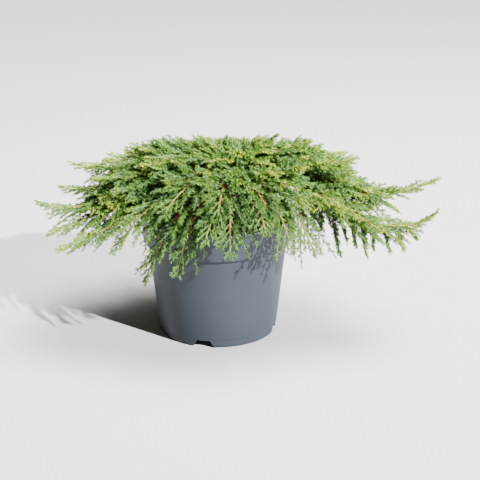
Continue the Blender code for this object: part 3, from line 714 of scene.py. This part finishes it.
for number in range(TOP_PLUMES):
    azimuth = TOP_TURN + number * math.tau / TOP_PLUMES
    out = level_direction(azimuth)
    reach, depth, pitch = (row[number % 2] for row in (TOP_REACH, TOP_DEPTH, TOP_PITCH))
    over = CROWN_AXIS + out * reach
    plumes.append(plume_curve(
        TRUNK_TOP + out * TOP_STAND - Vector((0, 0, FOOT_SINK)),
        (Vector((0, 0, 1)) + out * TOP_LEAN).normalized(),
        azimuth,
        reach,
        float(crown_top(over.x, over.y)) - depth,
        pitch,
    ))
plumes = np.array([[list(handle) for handle in curve] for curve in plumes])

# Twigs.
# Shorter plumes fork off the long ones and close the crown. Flat sprays leave every stem: twigs to
# its left and right that sweep forward, each with short shoots of its own. They are woody by the
# stem and soft and green further out.
TWIG_SEED = 77
TWIG_SPACING = 0.0044
FRONT_SPACING = 0.0056
HANGING_SPACING = 0.0042
FRONT_LINE = -0.10
SIDES_LINE = -0.070
FIRST_TWIG = 0.10
LAST_TWIG = 0.985
TWIG_CROWDING = 1.3
TWIG_LENGTH = 0.046
TWIG_SWEEP = math.radians(48)
TWIG_FORWARD = 0.24
HANGING_TWIG_LENGTH = 0.0175
SIDE_TWIG_CUT = 0.55
FRONT_TWIG_CUT = 0.88
RIGHT_TWIG_CUT = 0.80
LONG_CHANCE = 0.30
LONG_STRETCH = 1.40
LONG_DROOP = 0.28
UPRIGHT_END = 0.30
UPRIGHT_LEAN = 0.35
STRAY_CHANCE = 0.05
STRAY_RISE = 0.012
TOP_ROOM = 0.001
CUT_BACK = 0.72
CUTS = 5
SHOOT_SPACING = 0.0043
SHOOT_LENGTH = 0.0050
SHOOT_LEAST = 0.0022
SHOOT_TWIG = 0.035
SHOOT_SWEEP = math.radians(33)
STEM_RADIUS = 0.0021
STEM_TIP_RADIUS = 0.0005
SIDE_STEM_CUT = 0.62
TWIG_RADII = (0.00085, 0.00070, 0.00050, 0.00030)
TWIG_JOINTS = (0.0, 0.25, 0.6, 1.0)
SHOOT_RADII = (0.00050, 0.00028)
STEM_RINGS = 31
OLD_RINGS = 18
YOUNG_RINGS = 26
OLD_TWIGS = 0.36
POT_GAP = 0.0020

# How long the twigs are along a stem, by share of the stem.
FULLNESS_AT = (0.0, 0.20, 0.42, 0.62, 0.80, 0.92, 1.0)
FULLNESS = (0.75, 1.0, 1.0, 0.82, 0.52, 0.34, 0.13)

# The side plumes: the plumes that they fork off, share of the stem, hand, length and rise.
SIDE_PLUMES = (
    ("upper", 0.16, 1.0, 0.075, 0.50),
    ("upper", 0.24, -1.0, 0.075, 0.40),
    ("upper", 0.36, 1.0, 0.060, 0.25),
    ("sides", 0.18, 1.0, 0.075, 0.45),
    ("sides", 0.28, -1.0, 0.075, 0.35),
    ("sides", 0.42, 1.0, 0.060, 0.20),
    ("flanks", 0.13, 1.0, 0.085, 0.75),
    ("flanks", 0.20, -1.0, 0.085, 0.75),
    ("flanks", 0.28, 1.0, 0.070, 0.60),
    ("left", 0.40, -1.0, 0.062, 0.10),
    ("left", 0.46, 1.0, 0.062, 0.10),
    ("back", 0.12, 1.0, 0.080, -0.30),
    ("back", 0.22, -1.0, 0.080, -0.30),
    ("back", 0.40, 1.0, 0.070, -0.60),
)


def along_curve(curve, share):
    """Points and unit directions on Bezier curves; curve is (n, 4, 3) and share (n,)."""
    t = share[:, None]
    rest = 1 - t
    a, b, c, d = (curve[:, i] for i in range(4))
    point = a * rest**3 + b * 3 * t * rest**2 + c * 3 * t**2 * rest + d * t**3
    slope = (b - a) * rest**2 + (c - b) * 2 * t * rest + (d - c) * t**2
    return point, slope / np.linalg.norm(slope, axis=1, keepdims=True)


def all_at(curve, share):
    """The points of all curves at one share."""
    return along_curve(curve, np.full(len(curve), share))[0]


def unit(rows):
    return rows / np.linalg.norm(rows, axis=-1, keepdims=True)


def across(direction):
    """Two unit vectors square to each direction, the first level."""
    side = np.cross(direction, (0.0, 0.0, 1.0))
    steep = np.linalg.norm(side, axis=1) < 0.05
    side[steep] = np.cross(direction[steep], (1.0, 0.0, 0.0))
    side = unit(side)
    return side, np.cross(side, direction)


def lengths_of(curve):
    """Length of each curve."""
    steps = [all_at(curve, share) for share in np.linspace(0, 1, 25)]
    return np.linalg.norm(np.diff(np.array(steps), axis=0), axis=2).sum(axis=0)


def tubes(paths, radii, sides):
    """Points and triangles of closed tubes; paths is (n, rings, 3) and radii (n, rings)."""
    count, rings = paths.shape[:2]
    side, top = across(unit(np.gradient(paths, axis=1).reshape(-1, 3)))
    turn = np.arange(sides) * math.tau / sides
    circle = side[:, None] * np.cos(turn)[:, None] + top[:, None] * np.sin(turn)[:, None]
    points = paths.reshape(-1, 1, 3) + circle * radii.reshape(-1, 1, 1)
    faces = []
    for ring in range(rings - 1):
        for i in range(sides):
            j = (i + 1) % sides
            low, high = ring * sides, (ring + 1) * sides
            faces += [(low + i, low + j, high + j), (low + i, high + j, high + i)]
    for i in range(1, sides - 1):
        last = (rings - 1) * sides
        faces += [(0, i + 1, i), (last, last + i, last + i + 1)]
    faces = np.array(faces)[None] + (np.arange(count) * rings * sides)[:, None, None]
    return points.reshape(-1, 3), faces.reshape(-1, 3)


def in_one(*parts):
    """Several sets of points and triangles as one."""
    first = np.cumsum([0] + [len(points) for points, _ in parts])
    faces = [part[1] + start for part, start in zip(parts, first)]
    return np.concatenate([part[0] for part in parts]), np.concatenate(faces)


def outside_pot(points):
    """Which points are clear of the pot and the mix."""
    radius = np.hypot(points[:, 0], points[:, 1])
    height = points[:, 2]
    wall = np.where(height > COLLAR_FOOT - 0.002, RIM_RADIUS, wall_radius(height))
    in_wall = (height < POT_HEIGHT + 0.0015) & (radius < wall + POT_GAP)
    in_hollow = (height > MEDIUM_TOP + 0.002) & (radius < RIM_RADIUS - 0.0060)
    return ~in_wall | in_hollow


def room_over(points):
    """How far points lie under the top of the mound."""
    return crown_top(points[:, 0], points[:, 1]) - points[:, 2]


def side_plumes(parents, share, hand, length, rise):
    """Shorter stems that fork off plumes to one hand, rise a little and arch over."""
    start, along = along_curve(parents, np.full(len(parents), share))
    side, top = across(along)
    reach = length * np.interp(lengths_of(parents), (0.12, 0.30), (0.75, 1.1))[:, None]
    lead = unit(along + side * hand * 0.75 + top * rise)
    end = start + unit(along + side * hand * 0.55 + top * rise * 0.35) * reach
    end[:, 2] = np.minimum(end[:, 2], crown_top(end[:, 0], end[:, 1]) - 0.010)
    trail = unit(along + side * hand * 0.25 - top * 0.30)
    handle = reach * 0.36
    return np.stack([start, start + lead * handle, end - trail * handle, end], axis=1)


def hanging_plumes():
    """The sprays that hang under one long plume, each nearly straight."""
    shares, reach, slope = (np.array(column) for column in zip(*HANGING))
    start, along = along_curve(plumes[[HANGING_FROM] * len(shares)], shares)
    level = unit(along * (1.0, 1.0, 0.0))
    slope = np.radians(slope)[:, None]
    down = level * np.cos(slope) + np.array((0.0, 0.0, -1.0)) * np.sin(slope)
    reach = reach[:, None]
    end = start + down * reach
    lead = unit(down + level * 0.5)
    return np.stack([start, start + lead * reach * 0.35, end - down * reach * 0.35, end], axis=1)


def called(*names):
    """Which of the named plumes have these names."""
    return np.isin(plume_names, names)


chance = np.random.default_rng(TWIG_SEED)
plume_names = [f"foliage_{i:02d}_{tier}" for i in range(1, BOUGH_COUNT + 1) for tier in TIERS]
plume_names += [f"foliage_top_{i}" for i in range(1, TOP_PLUMES + 1)]
upper = np.array([tier == "high" for _ in bough_ends for tier in TIERS] + [True] * TOP_PLUMES)
forks = {
    "upper": upper,
    "sides": ~upper & (plumes[:, 3, 1] > SIDES_LINE),
    "flanks": called("foliage_01_mid", "foliage_01_low", "foliage_06_mid", "foliage_07_mid"),
    "left": called("foliage_06_mid", "foliage_07_mid", "foliage_07_low"),
    "back": called(*[f"foliage_{i:02d}_low" for i in range(8, 13)]),
}
plumes_of_own = len(plumes)
plumes = np.concatenate([
    plumes,
    *(side_plumes(plumes[forks[fork]], *row) for fork, *row in SIDE_PLUMES),
    hanging_plumes(),
])
is_side = np.arange(len(plumes)) >= plumes_of_own
in_front = plumes[:, 3, 1] < FRONT_LINE
spacing = np.where(in_front, FRONT_SPACING, TWIG_SPACING)
spacing[np.flatnonzero(called("foliage_04_low", "foliage_05_low"))] = TWIG_SPACING
spacing[-len(HANGING):] = HANGING_SPACING
counts = np.round(lengths_of(plumes) / spacing).astype(int)
owner = np.repeat(np.arange(len(plumes)), counts)
order = np.concatenate([np.arange(count) for count in counts])
twigs = len(order)
placed = (order + chance.uniform(0.3, 0.7, twigs)) / counts[owner]
share = FIRST_TWIG + (LAST_TWIG - FIRST_TWIG) * placed**TWIG_CROWDING
foot, along = along_curve(plumes[owner], share)
side, top = across(along)
hand = np.where(order % 2 == 0, 0.0, math.pi)
lift = np.where(order % 2 == 0, 1.0, -1.0) * chance.normal(0.10, 0.20, twigs)
upright = (order % 3 == 1) & (share < UPRIGHT_END)
turn = np.where(
    upright, chance.uniform(UPRIGHT_LEAN, math.pi - UPRIGHT_LEAN, twigs), hand + lift
)
sweep = TWIG_SWEEP * chance.uniform(0.86, 1.10, twigs) * (1.05 - 0.35 * share)
out = side * np.cos(turn)[:, None] + top * np.sin(turn)[:, None]
twig_way = along * np.cos(sweep)[:, None] + out * np.sin(sweep)[:, None]
fullness = np.interp(share, FULLNESS_AT, FULLNESS)
twig_length = TWIG_LENGTH * fullness * chance.uniform(0.84, 1.08, twigs)
twig_length *= np.where(is_side[owner], SIDE_TWIG_CUT, 1.0)
twig_length *= np.where(in_front[owner] & (share > 0.45), FRONT_TWIG_CUT, 1.0)
reaches_right = (owner >= 1) & (owner <= HANGING_FROM)
twig_length *= np.where(reaches_right & (share > 0.60), RIGHT_TWIG_CUT, 1.0)
hangs = owner >= len(plumes) - len(HANGING)
hanging_length = HANGING_TWIG_LENGTH * (1.25 - share) * chance.uniform(0.85, 1.1, twigs)
twig_length = np.where(hangs, hanging_length, twig_length)
long_ones = chance.uniform(0, 1, twigs) < LONG_CHANCE
long_ones &= (share > 0.22) & (share < 0.74) & ~upright
twig_length *= np.where(long_ones, LONG_STRETCH, 1.0)
droop = chance.uniform(-0.16, 0.04, twigs) - np.where(long_ones, LONG_DROOP, 0.0)
twig_bend = along * TWIG_FORWARD + np.array((0.0, 0.0, 1.0)) * droop[:, None]
twig_flat = unit(np.cross(along, out))
least_room = np.where(chance.uniform(0, 1, twigs) < STRAY_CHANCE, -STRAY_RISE, TOP_ROOM)


def twig_point(part, pick=slice(None)):
    """A point on each twig at a share of its length."""
    grown = twig_way[pick] * part[:, None] + twig_bend[pick] * (part**2)[:, None]
    return foot[pick] + grown * twig_length[pick][:, None]


def clear_twigs():
    """Which twigs keep out of the pot and under the mound's top."""
    middle, tip = twig_point(np.full(len(foot), 0.5)), twig_point(np.full(len(foot), 1.0))
    return outside_pot(middle) & outside_pot(tip) & (room_over(tip) > least_room)


for cut in range(CUTS):
    twig_length = np.where(clear_twigs(), twig_length, twig_length * CUT_BACK)
kept = clear_twigs()
foot, twig_way, twig_bend = foot[kept], twig_way[kept], twig_bend[kept]
twig_length, twig_flat, least_room = twig_length[kept], twig_flat[kept], least_room[kept]
owner, share = owner[kept], share[kept]
twigs = len(foot)

shoots = np.maximum(1, np.round(twig_length * 0.80 / SHOOT_SPACING)).astype(int)
parent = np.repeat(np.arange(twigs), shoots)
rank = np.concatenate([np.arange(count) for count in shoots])
part = 0.20 + 0.72 * (rank + chance.uniform(0.3, 0.7, len(rank))) / shoots[parent]
shoot_foot = twig_point(part, parent)
slope = unit(twig_way[parent] + twig_bend[parent] * (2 * part)[:, None])
flat = unit(np.cross(twig_flat[parent], slope))
turn = (rank % 2) * math.pi + chance.normal(0.0, 0.28, len(rank))
out = flat * np.cos(turn)[:, None] + twig_flat[parent] * np.sin(turn)[:, None]
sweep = SHOOT_SWEEP * chance.uniform(0.85, 1.15, len(rank))
shoot_way = slope * np.cos(sweep)[:, None] + out * np.sin(sweep)[:, None]
shoot_length = SHOOT_LENGTH * np.clip(twig_length[parent] / SHOOT_TWIG, 0.4, 1.6) * (1.25 - part)
shoot_length = (SHOOT_LEAST + shoot_length) * chance.uniform(0.7, 1.15, len(rank))
tip = shoot_foot + shoot_way * shoot_length[:, None]
kept = outside_pot(tip) & (room_over(tip) > least_room[parent] - 0.002)
parent, part, shoot_foot = parent[kept], part[kept], shoot_foot[kept]
shoot_way, shoot_length = shoot_way[kept], shoot_length[kept]

steps = np.linspace(0.0, 1.0, STEM_RINGS)
paths = np.array([all_at(plumes, step) for step in steps]).swapaxes(0, 1)
radii = np.interp(steps, (0, 1), (STEM_RADIUS, STEM_TIP_RADIUS))
radii = radii * np.where(is_side, SIDE_STEM_CUT, 1.0)[:, None]
twig_paths = np.array([twig_point(np.full(twigs, joint)) for joint in TWIG_JOINTS]).swapaxes(0, 1)
twig_radii = np.array(TWIG_RADII)[None] * np.ones((twigs, 1))
shoot_paths = np.stack([shoot_foot, shoot_foot + shoot_way * shoot_length[:, None]], axis=1)
shoot_radii = np.array(SHOOT_RADII)[None] * np.ones((len(parent), 1))
old = share < OLD_TWIGS

# Old stems.
# The lower half of every plume's stem and the feet of its twigs are woody, with a thin orange-brown
# bark that shows between the sprays.
stems = joined_mesh(
    "old_stems",
    *in_one(
        tubes(paths[:, :OLD_RINGS], radii[:, :OLD_RINGS], 7),
        tubes(twig_paths[old, :2], twig_radii[old, :2], 4),
    ),
)
stem_bark, tree, shader, place = new_material("stem_bark", (0.36, 0.15, 0.035), 0.6)
shade = ramp(tree, noise(tree, place, 200.0, 4.0), [
    (0.32, (0.190, 0.062, 0.015)),
    (0.66, (0.400, 0.160, 0.034)),
])
tree.links.new(shade, shader.inputs["Base Color"])
bump(tree, shader, noise(tree, place, 900.0, 3.0), 0.0003, 0.5)
stems.data.materials.append(stem_bark)
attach(stems, "root")
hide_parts(*plume_names)

# Young stems.
# Last year's growth of the stems and the twigs' feet beyond the middle are smooth, and tan to
# yellow-olive.
young_stems = joined_mesh(
    "young_stems",
    *in_one(
        tubes(paths[:, OLD_RINGS - 1 : YOUNG_RINGS], radii[:, OLD_RINGS - 1 : YOUNG_RINGS], 6),
        tubes(twig_paths[~old, :2], twig_radii[~old, :2], 3),
        tubes(twig_paths[old, 1:3], twig_radii[old, 1:3], 3),
    ),
)
young_wood, tree, shader, place = new_material("young_wood", (0.42, 0.28, 0.05), 0.55)
shade = ramp(tree, noise(tree, place, 45.0, 3.0), [
    (0.35, (0.330, 0.170, 0.032)),
    (0.65, (0.290, 0.260, 0.040)),
])
tree.links.new(shade, shader.inputs["Base Color"])
young_stems.data.materials.append(young_wood)
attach(young_stems, "root")

# Green shoots.
# This year's growth is soft and green: the stems' tips, the outer halves of the twigs and the short
# shoots on them.
green_shoots = joined_mesh(
    "green_shoots",
    *in_one(
        tubes(paths[:, YOUNG_RINGS - 1 :], radii[:, YOUNG_RINGS - 1 :], 5),
        tubes(twig_paths[~old, 1:], twig_radii[~old, 1:], 3),
        tubes(twig_paths[old, 2:], twig_radii[old, 2:], 3),
        tubes(shoot_paths, shoot_radii, 3),
    ),
)
green_wood, tree, shader, place = new_material("green_wood", (0.20, 0.33, 0.07), 0.5)
shade = ramp(tree, noise(tree, place, 60.0, 3.0), [
    (0.35, (0.160, 0.290, 0.060)),
    (0.65, (0.300, 0.400, 0.090)),
])
tree.links.new(shade, shader.inputs["Base Color"])
green_shoots.data.materials.append(green_wood)
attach(green_shoots, "root")

# Needles.
# Short awl-shaped needles lie forward in whorls of three along every twig and shoot. They are mid
# green and fresh yellow-green at the tips. Painted shade darkens those deep in the crown, low at
# the front and over the rim, and painted light brightens the mound's skin and its right side.
NEEDLE_SEED = 5
WHORL_SPACING = 0.00145
NEEDLE_LENGTH = 0.0047
NEEDLE_WIDTH = 0.00152
NEEDLE_STAND = math.radians(32)
NEEDLE_WIDEST = 0.38
NEEDLE_FOLD = 0.5
NEEDLE_ROOT = 0.0002
BARE_SHOOT = 0.08
BARE_TWIG = 0.12
BARE_STEM = 0.50
STEM_STEP = 0.04
# Plain base colours. The darker and paler ones also carry painted shade and painted light.
SHADES = {
    "deep": (0.026, 0.075, 0.012),
    "green": (0.070, 0.158, 0.022),
    "blue": (0.084, 0.180, 0.042),
    "fresh": (0.124, 0.216, 0.022),
    "tip": (0.245, 0.318, 0.030),
}
SHADE_LIMITS = (0.20, 0.53, 0.80)
PATCH_DARK = 0.72
PATCH_LIGHT = 1.30
MOST_WHORLS = 32000

# Painted shade: how much darker a needle is painted for its place, under the mound's top, at the
# front and over the rim. Painted light makes the mound's skin and its right side, where the light
# falls, brighter.
DEPTH_PAINTED_SHADE = 1.5
FRONT_PAINTED_SHADE = 4.5
RIM_PAINTED_SHADE = 6.0
RIM_PAINTED_SHADE_TOP = 0.235
RIM_PAINTED_SHADE_RADIUS = 0.152
SKIN = 0.025
SKIN_PAINTED_LIGHT = 0.07
RIGHT_PAINTED_LIGHT = 1.3


def whorls(start, way, curve_out, length, first):
    """Places along many shoots where needles stand; gives shoot, share, step, point and way."""
    count = np.maximum(1, np.round(length * (1 - first) / WHORL_SPACING)).astype(int)
    which = np.repeat(np.arange(len(start)), count)
    step = np.concatenate([np.arange(n) for n in count])
    at = first + (1 - first) * (step + 0.8) / count[which]
    grown = way[which] * at[:, None] + curve_out[which] * (at**2)[:, None]
    point = start[which] + grown * length[which][:, None]
    return which, at, step, point, unit(way[which] + curve_out[which] * (2 * at)[:, None])


def needle_mesh(point, way, step, size):
    """Folded blades, three to a whorl: four points and two faces each."""
    side, top = across(way)
    count = len(point)
    turn = (step % 2) * math.pi / 3 + chance.uniform(-0.35, 0.35, count)
    turn = turn[:, None] + np.arange(3) * math.tau / 3
    out = side[:, None] * np.cos(turn)[..., None] + top[:, None] * np.sin(turn)[..., None]
    stand = NEEDLE_STAND * chance.uniform(0.75, 1.25, (count, 3, 1))
    aim = way[:, None] * np.cos(stand) + out * np.sin(stand)
    edge = unit(np.cross(aim, out))
    back = np.cross(edge, aim)
    length = NEEDLE_LENGTH * (size[:, None] * chance.uniform(0.8, 1.15, (count, 3)))[..., None]
    width = NEEDLE_WIDTH / 2
    root = point[:, None] + out * NEEDLE_ROOT
    middle = root + aim * length * NEEDLE_WIDEST
    corners = np.stack([
        root,
        middle + edge * width + back * width * NEEDLE_FOLD,
        middle - edge * width + back * width * NEEDLE_FOLD,
        root + aim * length,
    ], axis=2)
    faces = np.array([[0, 1, 3], [0, 3, 2]])[None] + (4 * np.arange(count * 3))[:, None, None]
    return corners.reshape(-1, 3), faces.reshape(-1, 3)


def painted_light_and_shade(points):
    """Painted shade and light: how much darker needles are painted for their place in the crown."""
    room = room_over(points)
    radius = np.hypot(points[:, 0], points[:, 1])
    over_rim = (points[:, 1] < 0) & (points[:, 2] < RIM_PAINTED_SHADE_TOP)
    dark = DEPTH_PAINTED_SHADE * np.clip(room - 0.02, 0.0, 0.20)
    dark += FRONT_PAINTED_SHADE * np.clip(-points[:, 1] - 0.08, 0.0, 0.10)
    dark += np.where(over_rim, RIM_PAINTED_SHADE * np.clip(RIM_PAINTED_SHADE_RADIUS - radius, 0.0, 0.06), 0.0)
    dark -= np.where(room < SKIN, SKIN_PAINTED_LIGHT, 0.0)
    dark -= RIGHT_PAINTED_LIGHT * np.clip(points[:, 0] - 0.08, 0.0, 0.10)
    return dark


chance = np.random.default_rng(NEEDLE_SEED)
on_shoot = whorls(shoot_foot, shoot_way, np.zeros_like(shoot_way), shoot_length, BARE_SHOOT)
on_twig = whorls(foot, twig_way, twig_bend, twig_length, BARE_TWIG)
stops = np.arange(BARE_STEM, 0.999, STEM_STEP)
stem_foot = np.concatenate([all_at(plumes, stop) for stop in stops])
stem_next = np.concatenate([all_at(plumes, min(stop + STEM_STEP, 1.0)) for stop in stops])
stem_span = np.linalg.norm(stem_next - stem_foot, axis=1)
stem_way = unit(stem_next - stem_foot)
on_stem = whorls(stem_foot, stem_way, np.zeros_like(stem_foot), stem_span, 0.0)
step, point, way = (
    np.concatenate([row[i] for row in (on_shoot, on_twig, on_stem)]) for i in (2, 3, 4)
)
outward = np.concatenate([
    share[parent][on_shoot[0]] * 0.62 + part[on_shoot[0]] * 0.20 + on_shoot[1] * 0.08,
    share[on_twig[0]] * 0.62 + on_twig[1] * 0.24,
    np.full(len(on_stem[0]), 0.84),
])
# Painted light: on four plumes that the lamp falls on, twigs past a third of the stem get paler
# shades.
painted_light_plumes = np.flatnonzero(
    called("foliage_01_mid", "foliage_01_low", "foliage_05_mid", "foliage_06_low")
)
# Each twig's luck is random, plus the painted light of the four lit plumes.
twig_luck_and_painted_light = chance.normal(0.0, 0.10, twigs) + chance.normal(0.0, 0.07, len(plumes))[owner]
twig_luck_and_painted_light += np.where(np.isin(owner, painted_light_plumes) & (share > 0.35), 0.16, 0.0)
bluish = chance.uniform(0, 1, twigs) < 0.34 - 0.24 * share
no_luck = np.zeros(len(on_stem[0]))
luck_and_painted_light = np.concatenate([twig_luck_and_painted_light[parent][on_shoot[0]], twig_luck_and_painted_light[on_twig[0]], no_luck])
blue = np.concatenate([bluish[parent][on_shoot[0]], bluish[on_twig[0]], no_luck > 0])
# Each needle's brightness comes from its place along the stem, its luck, and the painted shade and
# light of its place.
bright = outward + luck_and_painted_light - painted_light_and_shade(point) + chance.normal(0, 0.04, len(point))
shade_of = np.digitize(bright, SHADE_LIMITS)
size = np.interp(outward, (0, 0.45, 0.90), (1.08, 0.98, 0.66))
groups = {
    "deep": shade_of == 0,
    "green": (shade_of == 1) & ~blue,
    "blue": (shade_of >= 1) & (shade_of <= 2) & blue,
    "fresh": (shade_of == 2) & ~blue,
    "tip": shade_of == 3,
}
for name, chosen in groups.items():
    colour = SHADES[name]
    finish, tree, shader, place = new_material(f"needles_{name}", colour, 0.48)
    dark = tuple(value * PATCH_DARK for value in colour)
    light = tuple(min(value * PATCH_LIGHT, 1.0) for value in colour)
    shade = ramp(tree, noise(tree, place, 95.0, 3.0), [(0.33, dark), (0.67, light)])
    tree.links.new(shade, shader.inputs["Base Color"])
    shader.inputs["Specular IOR Level"].default_value = 0.30
    places = np.flatnonzero(chosen)
    for batch, start in enumerate(range(0, len(places), MOST_WHORLS), start=1):
        pick = places[start : start + MOST_WHORLS]
        points, faces = needle_mesh(point[pick], way[pick], step[pick], size[pick])
        needles = joined_mesh(f"needles_{name}_{batch}", points, faces)
        needles.data.materials.append(finish)
        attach(needles, "root")

# Studio.
# A plain pale floor that runs back out of sight. A small bright lamp stands high on the right in
# front, a soft square one hangs over the plant, and the white air fills the shadows. A long lens
# looks down a little on the plant.
FLOOR_SIZE = 80.0
FLOOR_DROP = 0.0005
KEY_WAY = (-1.99, 1.82, -1.56)
KEY_POWER = 18.5
KEY_ANGLE = math.radians(1.2)
TOP_LAMP_PLACE = (0.7, 0.3, 2.2)
TOP_LAMP_AIM = (0.0, 0.0, 0.2)
TOP_LAMP_SIZE = 1.6
TOP_LAMP_POWER = 300.0
AIR_LIGHT = 0.10
CAMERA_PLACE = (0.0333, -2.0, 0.8316)
CAMERA_PITCH = 0.335
CAMERA_LENS = 107.6
CAMERA_SENSOR = 36.0

bpy.ops.object.select_all(action="DESELECT")
bpy.ops.mesh.primitive_plane_add(size=FLOOR_SIZE, location=(0, 0, -FLOOR_DROP))
floor = bpy.context.object
floor.name = "studio_floor"
floor_paint, tree, shader, place = new_material("floor_paint", (0.46, 0.46, 0.46), 0.9)
shade = ramp(tree, noise(tree, place, 0.6, 2.0), [
    (0.0, (0.45, 0.45, 0.45)),
    (1.0, (0.47, 0.47, 0.47)),
])
tree.links.new(shade, shader.inputs["Base Color"])
floor.data.materials.append(floor_paint)


def turned(way):
    """The turn that makes a lamp shine along a way."""
    return Vector(way).to_track_quat("-Z", "Y").to_euler()


key_lamp = bpy.data.objects.new("key_lamp", bpy.data.lights.new("key_lamp", "SUN"))
key_lamp.data.energy = KEY_POWER
key_lamp.data.angle = KEY_ANGLE
key_lamp.rotation_euler = turned(KEY_WAY)
bpy.context.scene.collection.objects.link(key_lamp)

top_lamp = bpy.data.objects.new("top_lamp", bpy.data.lights.new("top_lamp", "AREA"))
top_lamp.data.shape = "SQUARE"
top_lamp.data.size = TOP_LAMP_SIZE
top_lamp.data.energy = TOP_LAMP_POWER
top_lamp.location = TOP_LAMP_PLACE
top_lamp.rotation_euler = turned(Vector(TOP_LAMP_AIM) - Vector(TOP_LAMP_PLACE))
bpy.context.scene.collection.objects.link(top_lamp)

world = bpy.data.worlds.new("studio_air")
world.use_nodes = True
air = world.node_tree.nodes["Background"]
air.inputs["Color"].default_value = (1.0, 1.0, 1.0, 1.0)
air.inputs["Strength"].default_value = AIR_LIGHT
bpy.context.scene.world = world

camera = bpy.data.objects.new("camera", bpy.data.cameras.new("camera"))
camera.location = CAMERA_PLACE
camera.rotation_euler = (math.pi / 2 - CAMERA_PITCH, 0.0, 0.0)
camera.data.lens = CAMERA_LENS
camera.data.sensor_width = CAMERA_SENSOR
bpy.context.scene.collection.objects.link(camera)
bpy.context.scene.camera = camera
